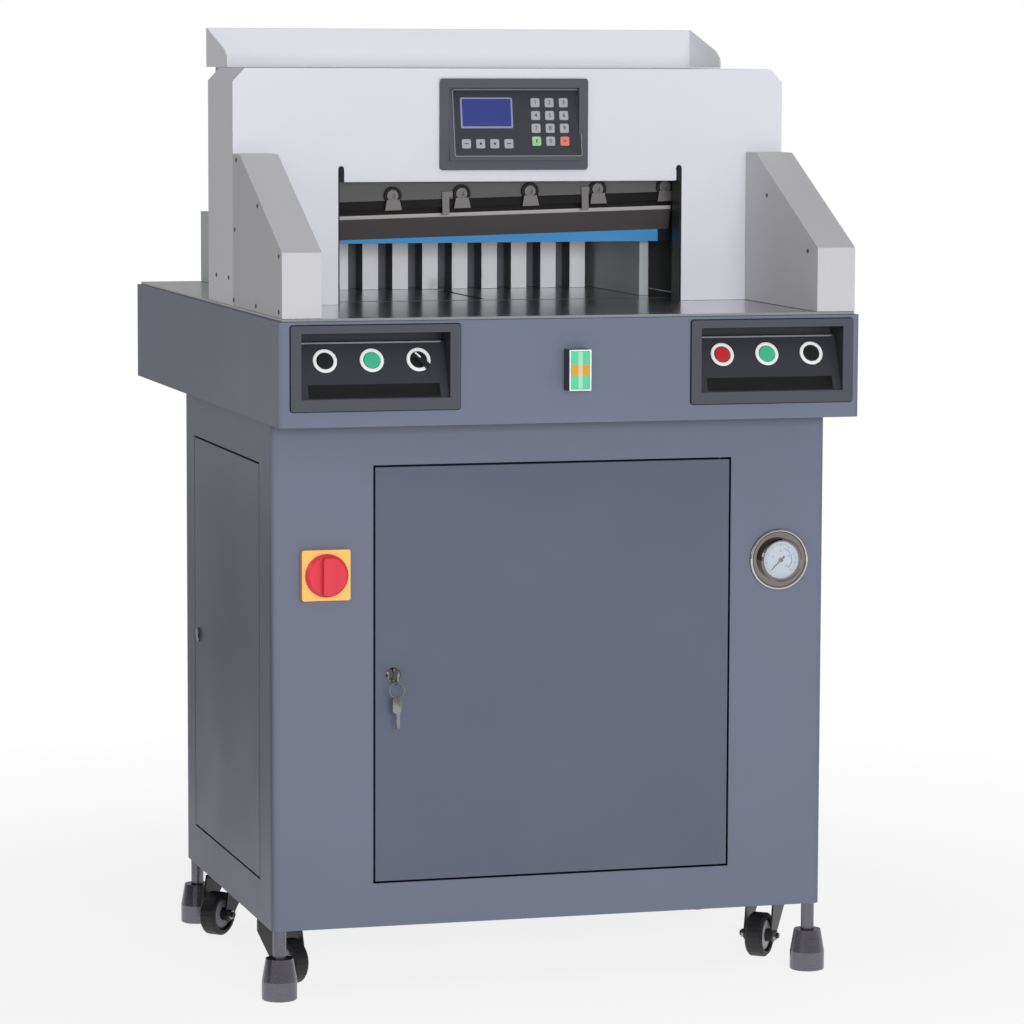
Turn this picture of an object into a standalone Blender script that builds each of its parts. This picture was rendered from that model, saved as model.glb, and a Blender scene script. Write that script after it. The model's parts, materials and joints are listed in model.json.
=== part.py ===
"""Hydraulic paper cutter: a cabinet on feet and casters, a work table with control panels,
a head with knife and clamp, and the drives under the table.

Metres, +Z up, the front faces -Y. The origin is on the floor under the middle of the
machine's outer box.
"""
import math

import bmesh
import bpy
from mathutils import Vector

# Clearances and counts shared by all pieces
GAP = 0.0003
OVERRUN = 0.004
ROUND_SIDES = 24
FINE_SIDES = 32
CORNER_STEPS = 3

# Heights of the main layers
GROUND_CLEARANCE = 0.0943
CABINET_HEIGHT = 0.6827
APRON_HEIGHT = 0.1375
TABLE_THICKNESS = 0.0035
HEAD_HEIGHT = 0.3221

# Deck: the table and its apron
DECK_WIDTH = 0.800
DECK_DEPTH = 0.962
APRON_SHEET = 0.003
APRON_CORNER = 0.008
APRON_FLANGE = 0.030
TABLE_INSET = 0.006

# Rocker switch in the middle of the apron
ROCKER_PROUD = 0.026
ROCKER_WIDTH = 0.030
ROCKER_HEIGHT = 0.054
ROCKER_DROP = 0.0665
ROCKER_RIM = 0.002
ROCKER_RECESS = 0.006
ROCKER_KEY_THICKNESS = 0.003
ROCKER_PIVOT_HEIGHT = 0.008

# Cabinet
CABINET_SIDE_INSET = 0.0123
CABINET_DEPTH = 0.563
CABINET_INSET = 0.099
CABINET_WALL = 0.0025
CABINET_CORNER = 0.009
CABINET_TOP_FLANGE = 0.060
BASE_THICKNESS = 0.005

# Doors, which share one hinge and one lock
DOOR_GAP = 0.003
DOOR_PAN_DEPTH = 0.018
DOOR_SHEET = 0.002
FRONT_DOOR_LEFT = 0.1417
FRONT_DOOR_RIGHT = 0.1377
FRONT_DOOR_SILL = 0.0617
FRONT_DOOR_LINTEL = 0.063
SIDE_DOOR_FRONT = 0.0765
SIDE_DOOR_REAR = 0.0665
SIDE_DOOR_SILL = 0.0602
SIDE_DOOR_LINTEL = 0.0625
HINGE_INSET = 0.010
HINGE_SETBACK = 0.012
HINGE_RADIUS = 0.003
HINGE_BRACKET_WIDTH = 0.012
HINGE_BRACKET_HEIGHT = 0.010
HINGE_BRACKET_BACK = 0.004
HINGE_BRACKET_CLEAR = 0.001
LOCK_EDGE = 0.0245
LOCK_HEIGHT = 0.279
LOCK_HEAD_RADIUS = 0.010
LOCK_HEAD_PROUD = 0.003
LOCK_BODY_RADIUS = 0.008
LOCK_BODY_LENGTH = 0.016
LOCK_CAM_LENGTH = 0.018
LOCK_CAM_WIDTH = 0.008
LOCK_CAM_THICKNESS = 0.0025
KEY_THICKNESS = 0.002
KEY_SHANK_HEIGHT = 0.008
KEY_SLOT_DEPTH = 0.012
KEY_NECK = 0.005
KEY_BOW_HEIGHT = 0.022
KEY_BOW_LENGTH = 0.018

# Main switch on the cabinet front
SWITCH_EDGE = 0.072
SWITCH_DROP = 0.204
SWITCH_PLATE_WIDTH = 0.066
SWITCH_PLATE_HEIGHT = 0.068
SWITCH_PLATE_THICKNESS = 0.011
SWITCH_PLATE_CORNER = 0.003
SWITCH_KNOB_RADIUS = 0.029
SWITCH_KNOB_THICKNESS = 0.008
SWITCH_HANDLE_WIDTH = 0.016
SWITCH_HANDLE_HEIGHT = 0.050
SWITCH_HANDLE_DEPTH = 0.012

# Pressure gauge on the cabinet front
GAUGE_EDGE = 0.0652
GAUGE_DROP = 0.202
GAUGE_FLANGE_RADIUS = 0.042
GAUGE_FLANGE_THICKNESS = 0.002
GAUGE_BEZEL_RADIUS = 0.0295
GAUGE_BEZEL_PROUD = 0.012
GAUGE_RECESS_RADIUS = 0.026
GAUGE_RECESS_DEPTH = 0.006
GAUGE_BODY_RADIUS = 0.027
GAUGE_BODY_LENGTH = 0.025
NEEDLE_LENGTH = 0.019
NEEDLE_TAIL = 0.007
NEEDLE_WIDTH = 0.0026
NEEDLE_THICKNESS = 0.0008
NEEDLE_HUB_RADIUS = 0.003
NEEDLE_HUB_HEIGHT = 0.0025
NEEDLE_REST_ANGLE = math.radians(225.0)

# Levelling feet
FOOT_EDGE = 0.0127
FOOT_FRONT = 0.014
FOOT_REAR = 0.012
FOOT_RADIUS = 0.0238
FOOT_CYLINDER_HEIGHT = 0.0255
FOOT_CONE_TOP = 0.056
FOOT_NECK_RADIUS = 0.0185
FOOT_STEM_RADIUS = 0.009
FOOT_STEM_REACH = 0.032
FOOT_CHAMFER = 0.001

# Casters
CASTER_EDGE = 0.0367
CASTER_FRONT = 0.121
CASTER_REAR = 0.102
CASTER_TRAIL = 0.024
CASTER_LIFT = 0.0015
WHEEL_RADIUS = 0.031
WHEEL_WIDTH = 0.025
WHEEL_HUB_WIDTH = 0.036
WHEEL_HUB_RADIUS = 0.009
WHEEL_DISC_WIDTH = 0.015
WHEEL_TREAD_DEPTH = 0.007
WHEEL_SHOULDER = 0.003
AXLE_RADIUS = 0.004
AXLE_LENGTH = 0.057
FORK_CHEEK_THICKNESS = 0.0025
FORK_CHEEK_RADIUS = 0.010
FORK_LENGTH = 0.046
FORK_SKIRT = 0.012
FORK_RACE_RADIUS = 0.020
FORK_CROWN_THICKNESS = 0.010
FORK_PLATE_THICKNESS = 0.004
KINGPIN_RADIUS = 0.005
KINGPIN_LENGTH = 0.006
CASTER_PAD_SIZE = 0.060
CASTER_PAD_THICKNESS = 0.003
# Where each caster's wheel trails, measured from +X towards +Y
CASTER_HEADINGS = {
    ("front", "left"): math.radians(-67.8),
    ("front", "right"): math.radians(-128.4),
    ("rear", "left"): math.radians(-135.1),
    ("rear", "right"): math.radians(-70.0),
}

# Control panels on the apron
LEFT_PANEL_EDGE = 0.1294
RIGHT_PANEL_EDGE = 0.125
PANEL_WIDTH = 0.2275
PANEL_HEIGHT = 0.1115
PANEL_DROP = 0.0083
PANEL_PROUD = 0.003
PANEL_CORNER = 0.003
PANEL_OPENING_WIDTH = 0.200
PANEL_OPENING_HEIGHT = 0.0858
PANEL_OPENING_RISE = 0.0155
PANEL_BOX_DEPTH = 0.050
PANEL_BOX_WALL = 0.003
PANEL_FACE_FOOT = 0.002
PANEL_FACE_TILT = math.radians(23.0)
PANEL_FACE_HEIGHT = 0.0725
BUTTON_PITCH = 0.063
BUTTON_RISE = 0.048
BUTTON_RADIUS = 0.011
BUTTON_PROUD = 0.004
BUTTON_SUNK = 0.006
BUTTON_TRAVEL = 0.004
SELECTOR_HANDLE_LENGTH = 0.026
SELECTOR_HANDLE_WIDTH = 0.007
SELECTOR_HANDLE_DEPTH = 0.009
SELECTOR_REST_ANGLE = math.radians(45.0)

# Head: front panel and cover
HEAD_SIDE_INSET = 0.0065
HEAD_SETBACK = 0.3043
HEAD_DEPTH = 0.1627
HEAD_SHEET = 0.002
HEAD_CHAMFER_WIDTH = 0.017
HEAD_CHAMFER_HEIGHT = 0.018
OPENING_SIDE_INSET = 0.1468
OPENING_HEIGHT = 0.1672
SLOT_WIDTH = 0.0085
SLOT_HEIGHT = 0.022
SLOT_SLANT = 0.004

# Hand guards
GUARD_WIDTH = 0.0533
GUARD_SHEET = 0.002
GUARD_FRONT_HEIGHT = 0.0856
GUARD_HEIGHT = 0.2066
GUARD_SHELF = 0.044

# Top tray, rear housing and rear table cover
TRAY_SIDE_INSET = 0.0304
TRAY_DEPTH = 0.1406
TRAY_SETBACK = 0.0144
TRAY_HEIGHT = 0.0555
TRAY_SHEET = 0.002
TRAY_WING_RISE = 0.0136
TRAY_LIP_HEIGHT = 0.0255
TRAY_LIP_DEPTH = 0.0231
HOUSING_SIDE_INSET = 0.0435
HOUSING_DEPTH = 0.155
HOUSING_HEIGHT = 0.211
REAR_COVER_MARGIN = 0.074
REAR_COVER_HEIGHT = 0.105
REAR_COVER_SHEET = 0.002
FENCE_INSET = 0.0187
FENCE_THICKNESS = 0.0135
FENCE_REACH = 0.029

# Console on the head
CONSOLE_OFFSET = 0.0019
CONSOLE_WIDTH = 0.212
CONSOLE_HEIGHT = 0.1255
CONSOLE_DROP = 0.0135
CONSOLE_PROUD = 0.011
CONSOLE_BORDER = 0.013
CONSOLE_BOX_INSET = 0.010
CONSOLE_RIM_PROUD = 0.005
CONSOLE_FACE_RECESS = 0.006
CONSOLE_BOX_DEPTH = 0.020
CONSOLE_CORNER = 0.004

# Throat surround
LINER_THICKNESS = 0.008
LINER_LEG_THICKNESS = 0.002
LINER_DEPTH = 0.0335
LINER_HEIGHT = 0.1925
LINER_BAR_HEIGHT = 0.012
LINER_BAR_DEPTH = 0.013

# Machine frame under and over the table
BED_SIDE_INSET = 0.045
BED_DEPTH = 0.530
BED_SETBACK = 0.115
BED_THICKNESS = 0.0245
BED_WEB_THICKNESS = 0.020
UPRIGHT_SIDE_INSET = 0.0485
PULL_ROD_INSET = 0.033
UPRIGHT_THICKNESS = 0.027
UPRIGHT_DEPTH = 0.140
UPRIGHT_SETBACK = 0.0107
UPRIGHT_HEIGHT = 0.316
BEAM_HEIGHT = 0.085
BEAM_DEPTH = 0.080

# Knife with its pull rod and cylinder
KNIFE_SETBACK = 0.0557
KNIFE_TILT = math.radians(1.5)
BLADE_THICKNESS = 0.0135
BLADE_HEIGHT = 0.1426
BLADE_BEVEL = 0.0303
BLADE_END_OVERLAP = 0.0008
KNIFE_BEAM_THICKNESS = 0.0102
KNIFE_BEAM_HEIGHT = 0.1113
KNIFE_BEAM_LIFT = 0.0413
KNIFE_BEAM_END_CLEAR = 0.018
KNIFE_PIVOT_RISE = 0.0926
KNIFE_EDGE_REST = 0.0838
KNIFE_PIN_RADIUS = 0.006
KNIFE_ROD_RADIUS = 0.009
KNIFE_ROD_TOP_CLEAR = 0.004
KNIFE_LUG_THICKNESS = 0.010
KNIFE_LUG_WIDTH = 0.020
KNIFE_LUG_OVER = 0.012
CYLINDER_WALL = 0.010
CYLINDER_END = 0.015
KNIFE_PISTON_RADIUS = 0.020
PISTON_THICKNESS = 0.015
KNIFE_CYLINDER_LENGTH = 0.150
PISTON_TOP_CLEAR = 0.005

# Clamp with its yoke and cylinder
CLAMP_LIFT = 0.0804
CLAMP_BEHIND_KNIFE = 0.0015
CLAMP_DEPTH = 0.060
CLAMP_HEIGHT = 0.086
CLAMP_END_CLEAR = 0.018
STRIP_END_INSET = 0.0122
STRIP_HEIGHT = 0.031
STRIP_THICKNESS = 0.006
CLAMP_ROD_RADIUS = 0.008
YOKE_DROP = 0.145
YOKE_THICKNESS = 0.020
YOKE_WIDTH = 0.040
YOKE_OVERHANG = 0.020
CLAMP_PISTON_RADIUS = 0.030
CLAMP_PISTON_ROD_RADIUS = 0.014
CLAMP_CYLINDER_LENGTH = 0.132

# Cutting stick let into the table under the knife
STICK_END_OVERLAP = 0.0008
STICK_SIZE = 0.012

# Back gauge and its screw
GAUGE_REST = 0.660
GAUGE_FORWARD = 0.190
RIB_PITCH = 0.045
RIB_WIDTH = 0.0235
RIB_DEPTH = 0.040
COMB_HEIGHT = 0.069
COMB_BODY_DEPTH = 0.030
COMB_CLEAR = 0.010
SLOT_X = -0.015
TABLE_SLOT_WIDTH = 0.008
TABLE_SLOT_END = 0.032
POST_LEAD = 0.0665
POST_WIDTH = 0.006
POST_THICKNESS = 0.007
POST_HEIGHT = 0.020
POST_CLEAR = 0.002
SCREW_RADIUS = 0.007
SCREW_JOURNAL_RADIUS = 0.005
SCREW_DEPTH_BELOW = 0.0148
SCREW_JOURNAL_LENGTH = 0.004
NUT_WIDTH = 0.030
NUT_LENGTH = 0.030
NUT_BELOW = 0.013
TONGUE_HEIGHT = 0.009
BED_SLOT_WIDTH = 0.036
BED_SLOT_START = 0.280

# Hydraulic unit on the cabinet base
TANK_WIDTH = 0.400
TANK_DEPTH = 0.340
TANK_HEIGHT = 0.230
TANK_WALL = 0.003
TANK_FRONT = 0.160
TANK_FILLER_RADIUS = 0.020
TANK_FILLER_INSET = 0.060
MOTOR_RADIUS = 0.065
MOTOR_HEIGHT = 0.240
MOTOR_SHAFT_END_RADIUS = 0.030
MOTOR_CAP_HEIGHT = 0.020

# Places worked out from the sizes above
DECK_FRONT = (ROCKER_PROUD - DECK_DEPTH) / 2
DECK_REAR = DECK_FRONT + DECK_DEPTH
DECK_SIDE = DECK_WIDTH / 2
CABINET_BOTTOM = GROUND_CLEARANCE
CABINET_TOP = CABINET_BOTTOM + CABINET_HEIGHT
CABINET_SIDE = DECK_SIDE - CABINET_SIDE_INSET
CABINET_FRONT = DECK_FRONT + CABINET_INSET
CABINET_REAR = CABINET_FRONT + CABINET_DEPTH
BASE_TOP = CABINET_BOTTOM + BASE_THICKNESS
APRON_BOTTOM = CABINET_TOP + GAP
APRON_TOP = APRON_BOTTOM + APRON_HEIGHT
TABLE_BOTTOM = APRON_TOP + GAP
TABLE_TOP = TABLE_BOTTOM + TABLE_THICKNESS
ON_TABLE = TABLE_TOP + GAP
HEAD_TOP = ON_TABLE + HEAD_HEIGHT
HEAD_SIDE = DECK_SIDE - HEAD_SIDE_INSET
HEAD_FRONT = DECK_FRONT + HEAD_SETBACK
HEAD_REAR = HEAD_FRONT + HEAD_DEPTH
COVER_FRONT = HEAD_FRONT + HEAD_SHEET + GAP
OPENING_SIDE = HEAD_SIDE - OPENING_SIDE_INSET
OPENING_TOP = ON_TABLE + OPENING_HEIGHT
FENCE_INNER = OPENING_SIDE - FENCE_INSET
REAR_COVER_SIDE = FENCE_INNER + REAR_COVER_MARGIN
TRAY_SIDE = HEAD_SIDE - TRAY_SIDE_INSET
HOUSING_SIDE = HEAD_SIDE - HOUSING_SIDE_INSET
UPRIGHT_OUTER = HEAD_SIDE - UPRIGHT_SIDE_INSET
UPRIGHT_INNER = UPRIGHT_OUTER - UPRIGHT_THICKNESS
PULL_ROD_X = UPRIGHT_INNER - PULL_ROD_INSET
KNIFE_BEAM_SIDE = UPRIGHT_INNER - KNIFE_BEAM_END_CLEAR
CLAMP_SIDE = UPRIGHT_INNER - CLAMP_END_CLEAR
YOKE_SIDE = PULL_ROD_X + YOKE_OVERHANG
BED_TOP = TABLE_BOTTOM - GAP
BED_BOTTOM = BED_TOP - BED_THICKNESS
BED_FRONT = DECK_FRONT + BED_SETBACK
BED_REAR = BED_FRONT + BED_DEPTH
BED_SIDE = DECK_SIDE - BED_SIDE_INSET
UNDER_BED = BED_BOTTOM - GAP
BLADE_FRONT = HEAD_FRONT + KNIFE_SETBACK
BLADE_BACK = BLADE_FRONT + BLADE_THICKNESS
BLADE_LENGTH = 2 * (OPENING_SIDE + BLADE_END_OVERLAP)
BEAM_BACK = BLADE_FRONT - GAP
BEAM_FRONT = BEAM_BACK - KNIFE_BEAM_THICKNESS
KNIFE_EDGE_Z = TABLE_TOP + KNIFE_EDGE_REST
KNIFE_PIVOT_Z = KNIFE_EDGE_Z + KNIFE_PIVOT_RISE
LUG_BACK = BEAM_FRONT - GAP
LUG_FRONT = LUG_BACK - KNIFE_LUG_THICKNESS
KNIFE_ROD_Y = (LUG_FRONT + LUG_BACK) / 2
CLAMP_FRONT = BLADE_BACK + CLAMP_BEHIND_KNIFE
CLAMP_BACK = CLAMP_FRONT + CLAMP_DEPTH
CLAMP_BOTTOM = TABLE_TOP + CLAMP_LIFT
CLAMP_ROD_Y = (CLAMP_FRONT + STRIP_THICKNESS + CLAMP_BACK) / 2
YOKE_TOP = UNDER_BED - YOKE_DROP
COMB_FRONT = DECK_FRONT + GAUGE_REST
COMB_BODY_FRONT = COMB_FRONT + RIB_DEPTH
COMB_BACK = COMB_BODY_FRONT + COMB_BODY_DEPTH
COMB_SIDE = FENCE_INNER - COMB_CLEAR
RIB_COUNT = int((2 * COMB_SIDE - RIB_WIDTH) / RIB_PITCH) + 1
POST_FRONT = COMB_FRONT - POST_LEAD
SCREW_Z = BED_TOP - SCREW_DEPTH_BELOW
TABLE_SLOT_FRONT = POST_FRONT - GAUGE_FORWARD - POST_CLEAR
TABLE_SLOT_REAR = DECK_REAR - TABLE_SLOT_END
SCREW_FRONT = BED_FRONT + BED_SLOT_START
SCREW_REAR = DECK_REAR - APRON_SHEET
AXLE_Z = CASTER_LIFT + WHEEL_RADIUS
PANEL_TOP = APRON_TOP - PANEL_DROP + TABLE_THICKNESS
PANEL_BOTTOM = PANEL_TOP - PANEL_HEIGHT
PANEL_OPENING_BOTTOM = PANEL_BOTTOM + PANEL_OPENING_RISE
PANEL_OPENING_TOP = PANEL_OPENING_BOTTOM + PANEL_OPENING_HEIGHT

# How a piece's own Z axis is laid along a world axis; on "Y" its top faces the front
LAID = {"X": (0.0, math.radians(90.0), 0.0), "Y": (math.radians(90.0), 0.0, 0.0), "Z": (0.0, 0.0, 0.0)}
# How an outline's plane is stood up: XZ is seen from the front, YZ from the right
STOOD = {"XY": (0.0, 0.0, 0.0), "XZ": (math.radians(90.0), 0.0, 0.0),
         "YZ": (math.radians(90.0), 0.0, math.radians(90.0))}
MERGE = 0.00001
SCREW_MERGE = 0.00005


def clear_scene():
    for old in list(bpy.data.objects):
        bpy.data.objects.remove(old, do_unlink=True)


def make_collection(name):
    collection = bpy.data.collections.new(name)
    bpy.context.scene.collection.children.link(collection)
    return collection


clear_scene()
PARTS = make_collection("hydraulic_paper_cutter")
CUTTERS = make_collection("cutters")


def make_finish(name, colour, roughness, metallic=0.0):
    finish = bpy.data.materials.new(name)
    finish.use_nodes = True
    shader = finish.node_tree.nodes["Principled BSDF"]
    shader.inputs["Base Color"].default_value = (*colour, 1.0)
    shader.inputs["Roughness"].default_value = roughness
    shader.inputs["Metallic"].default_value = metallic
    return finish


GREY_PAINT = make_finish("blue_grey_powder_coat", (0.147, 0.162, 0.220), 0.45)
PALE_PAINT = make_finish("pale_grey_powder_coat", (0.69, 0.70, 0.76), 0.45)
GUARD_PAINT = make_finish("guard_powder_coat", (0.56, 0.56, 0.58), 0.5)
TABLE_STEEL = make_finish("polished_table_steel", (0.45, 0.45, 0.46), 0.18, 1.0)
FRAME_PAINT = make_finish("frame_enamel", (0.10, 0.11, 0.12), 0.5)
BLACK_PLASTIC = make_finish("black_plastic", (0.03, 0.03, 0.035), 0.4)
BLACK_ENAMEL = make_finish("black_enamel", (0.03, 0.03, 0.033), 0.4)
FRAME_PLASTIC = make_finish("grey_plastic", (0.11, 0.115, 0.135), 0.4)
CHROME = make_finish("chrome", (0.80, 0.80, 0.82), 0.08, 1.0)
KEY_NICKEL = make_finish("nickel_plate", (0.55, 0.56, 0.55), 0.25, 1.0)
DARK_STEEL = make_finish("oxidised_steel", (0.09, 0.085, 0.09), 0.35, 1.0)
KNIFE_STEEL = make_finish("ground_knife_steel", (0.30, 0.29, 0.29), 0.3, 1.0)
CLAMP_BLUE = make_finish("blue_clamp_plastic", (0.07, 0.28, 0.58), 0.4)
GAUGE_ALUMINIUM = make_finish("cast_aluminium", (0.62, 0.63, 0.65), 0.4, 1.0)
YELLOW_PLASTIC = make_finish("yellow_plastic", (0.95, 0.58, 0.10), 0.4)
RED_PLASTIC = make_finish("red_plastic", (0.75, 0.03, 0.05), 0.35)
GREEN_PLASTIC = make_finish("green_plastic", (0.07, 0.50, 0.30), 0.35)
TYRE_RUBBER = make_finish("tyre_rubber", (0.03, 0.03, 0.032), 0.6)
STICK_PLASTIC = make_finish("cutting_stick_plastic", (0.75, 0.73, 0.66), 0.5)
DIAL_NEEDLE = make_finish("needle_enamel", (0.03, 0.04, 0.10), 0.4)


def keep(name, data, place, turn, finish, parent):
    """Puts a piece in the parts collection, or a cutter in its own when it has no finish."""
    piece = bpy.data.objects.new(name, data)
    piece.location = place
    piece.rotation_euler = turn
    piece.parent = parent
    if finish is None:
        CUTTERS.objects.link(piece)
        piece.hide_render = True
        piece.display_type = "WIRE"
    else:
        PARTS.objects.link(piece)
        data.materials.append(finish)
    return piece


def axis_frame(name, place, turn=(0.0, 0.0, 0.0), parent=None):
    frame = bpy.data.objects.new(name, None)
    frame.location = place
    frame.rotation_euler = turn
    frame.parent = parent
    PARTS.objects.link(frame)
    return frame


def block(name, low, high, finish=None, parent=None, rounding=0.0, along=2):
    """A box between two corners, with the edges along one axis rounded if asked."""
    low, high = Vector(low), Vector(high)
    mesh = bpy.data.meshes.new(name)
    shape = bmesh.new()
    bmesh.ops.create_cube(shape, size=1.0)
    bmesh.ops.scale(shape, vec=high - low, verts=shape.verts)
    if rounding:
        edges = [edge for edge in shape.edges
                 if abs((edge.verts[0].co - edge.verts[1].co).normalized()[along]) > math.cos(math.pi / 4)]
        bmesh.ops.bevel(shape, geom=edges, offset=rounding, segments=CORNER_STEPS, profile=0.5,
                        affect="EDGES")
    shape.to_mesh(mesh)
    shape.free()
    return keep(name, mesh, (low + high) / 2, (0.0, 0.0, 0.0), finish, parent)


def cylinder(name, radius, length, centre, laid="Z", finish=None, parent=None, sides=ROUND_SIDES):
    mesh = bpy.data.meshes.new(name)
    shape = bmesh.new()
    bmesh.ops.create_cone(shape, cap_ends=True, segments=sides, radius1=radius, radius2=radius, depth=length)
    shape.to_mesh(mesh)
    shape.free()
    mesh.shade_smooth()
    mesh.set_sharp_from_angle(angle=math.radians(40.0))
    return keep(name, mesh, centre, LAID[laid], finish, parent)


def turned(name, profile, centre, laid="Z", finish=None, parent=None, closed=False, sides=ROUND_SIDES):
    """Turns (radius, height) points, listed down the outer side, into a round piece."""
    count = len(profile)
    edges = [(index, index + 1) for index in range(count - 1)]
    if closed:
        edges.append((count - 1, 0))
    mesh = bpy.data.meshes.new(name)
    mesh.from_pydata([(radius, 0.0, height) for radius, height in profile], edges, [])
    piece = keep(name, mesh, centre, LAID[laid], finish, parent)
    screw = piece.modifiers.new("turn", "SCREW")
    screw.steps = sides
    screw.render_steps = sides
    screw.use_merge_vertices = True
    screw.merge_threshold = SCREW_MERGE
    return piece


def prism(name, outline, thickness, centre, plane, finish=None, parent=None):
    """A flat outline given thickness, centred on its plane, as a welded mesh."""
    curve = bpy.data.curves.new(name, "CURVE")
    curve.dimensions = "2D"
    curve.fill_mode = "BOTH"
    curve.extrude = thickness / 2
    spline = curve.splines.new("POLY")
    spline.points.add(len(outline) - 1)
    for point, (across, up) in zip(spline.points, outline):
        point.co = (across, up, 0.0, 1.0)
    spline.use_cyclic_u = True
    drawn = bpy.data.objects.new(name + "_outline", curve)
    PARTS.objects.link(drawn)
    graph = bpy.context.evaluated_depsgraph_get()
    mesh = bpy.data.meshes.new_from_object(drawn.evaluated_get(graph))
    bpy.data.objects.remove(drawn, do_unlink=True)
    shape = bmesh.new()
    shape.from_mesh(mesh)
    bmesh.ops.remove_doubles(shape, verts=shape.verts, dist=MERGE)
    bmesh.ops.recalc_face_normals(shape, faces=shape.faces)
    shape.to_mesh(mesh)
    shape.free()
    return keep(name, mesh, centre, STOOD[plane], finish, parent)


def combine(piece, tool, operation):
    step = piece.modifiers.new(tool.name, "BOOLEAN")
    step.operation = operation
    step.solver = "EXACT"
    step.object = tool
    return piece


def cut(piece, *tools):
    for tool in tools:
        combine(piece, tool, "DIFFERENCE")
    return piece


def fuse(piece, *tools):
    for tool in tools:
        combine(piece, tool, "UNION")
    return piece


def arc(centre, radius, start, end, steps):
    """Points on an arc, with its angles in degrees."""
    angles = [math.radians(start + (end - start) * step / steps) for step in range(steps + 1)]
    return [(centre[0] + radius * math.cos(angle), centre[1] + radius * math.sin(angle)) for angle in angles]


def cabinet_shell():
    shell = block("cabinet_shell", (-CABINET_SIDE, CABINET_FRONT, CABINET_BOTTOM),
                  (CABINET_SIDE, CABINET_REAR, CABINET_TOP), GREY_PAINT, rounding=CABINET_CORNER)
    inner_side = CABINET_SIDE - CABINET_WALL
    cut(shell, block("shell_inside", (-inner_side, CABINET_FRONT + CABINET_WALL, CABINET_BOTTOM - OVERRUN),
                     (inner_side, CABINET_REAR - CABINET_WALL, CABINET_TOP - CABINET_WALL),
                     rounding=CABINET_CORNER - CABINET_WALL))
    flange_side = CABINET_SIDE - CABINET_TOP_FLANGE
    flange_front = CABINET_FRONT + CABINET_TOP_FLANGE
    cut(shell, block("shell_top_opening", (-flange_side, flange_front, CABINET_TOP - CABINET_WALL - OVERRUN),
                     (flange_side, CABINET_REAR - CABINET_TOP_FLANGE, CABINET_TOP + OVERRUN)))
    left, right, sill, lintel = front_door_edges()
    cut(shell, block("front_doorway", (left - DOOR_GAP, CABINET_FRONT - OVERRUN, sill - DOOR_GAP),
                     (right + DOOR_GAP, CABINET_FRONT + CABINET_WALL + OVERRUN, lintel + DOOR_GAP)))
    front, rear, sill, lintel = side_door_edges()
    cut(shell, block("side_doorway", (-CABINET_SIDE - OVERRUN, front - DOOR_GAP, sill - DOOR_GAP),
                     (-CABINET_SIDE + CABINET_WALL + OVERRUN, rear + DOOR_GAP, lintel + DOOR_GAP)))
    cut(shell, cylinder("gauge_hole", GAUGE_BODY_RADIUS + GAP, CABINET_WALL * 4,
                        (CABINET_SIDE - GAUGE_EDGE, CABINET_FRONT, CABINET_TOP - GAUGE_DROP), "Y",
                        sides=FINE_SIDES))
    return shell


def cabinet_base():
    inner_side = CABINET_SIDE - CABINET_WALL - GAP
    front = CABINET_FRONT + CABINET_WALL + GAP
    rear = CABINET_REAR - CABINET_WALL - GAP
    base = block("cabinet_base", (-inner_side, front, CABINET_BOTTOM), (inner_side, rear, BASE_TOP),
                 GREY_PAINT, rounding=CABINET_CORNER - CABINET_WALL - GAP)
    for end, side in CASTER_HEADINGS:
        x, y = caster_place(end, side)
        half = CASTER_PAD_SIZE / 2
        pad_bottom = CABINET_BOTTOM - CASTER_PAD_THICKNESS
        fuse(base, block(f"{end}_{side}_caster_pad", (x - half, y - half, pad_bottom),
                         (x + half, y + half, BASE_TOP - BASE_THICKNESS / 2)))
        cut(base, cylinder(f"{end}_{side}_kingpin_hole", KINGPIN_RADIUS + GAP, BASE_THICKNESS * 4,
                           (x, y, CABINET_BOTTOM), "Z"))
        x, y = foot_place(end, side)
        cut(base, cylinder(f"{end}_{side}_stem_hole", FOOT_STEM_RADIUS + GAP, BASE_THICKNESS * 4,
                           (x, y, CABINET_BOTTOM), "Z"))
    return base


def front_door_edges():
    """Left, right, bottom and top of the front door."""
    return (-CABINET_SIDE + FRONT_DOOR_LEFT, CABINET_SIDE - FRONT_DOOR_RIGHT,
            CABINET_BOTTOM + FRONT_DOOR_SILL, CABINET_TOP - FRONT_DOOR_LINTEL)


def side_door_edges():
    """Front, rear, bottom and top of the left side door."""
    return (CABINET_FRONT + SIDE_DOOR_FRONT, CABINET_REAR - SIDE_DOOR_REAR,
            CABINET_BOTTOM + SIDE_DOOR_SILL, CABINET_TOP - SIDE_DOOR_LINTEL)


def door(name, width, height, frame):
    """A pan of bent sheet whose hinge axis is the frame's Z; its face looks along the frame's -Y."""
    left, right = HINGE_INSET - width, HINGE_INSET
    face, back = -HINGE_SETBACK, -HINGE_SETBACK + DOOR_PAN_DEPTH
    pan = block(name, (left, face, 0.0), (right, back, height), GREY_PAINT, frame)
    cut(pan, block(name + "_hollow", (left + DOOR_SHEET, face + DOOR_SHEET, DOOR_SHEET),
                   (right - DOOR_SHEET, back + OVERRUN, height - DOOR_SHEET), parent=frame))
    cut(pan, cylinder(name + "_hinge_holes", HINGE_RADIUS + GAP, height + 2 * OVERRUN,
                      (0.0, 0.0, height / 2), "Z", parent=frame))
    lock_hole = (left + LOCK_EDGE, face, LOCK_HEIGHT)
    cut(pan, cylinder(name + "_lock_hole", LOCK_BODY_RADIUS + GAP, DOOR_SHEET * 4, lock_hole, "Y",
                      parent=frame))
    return pan


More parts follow.
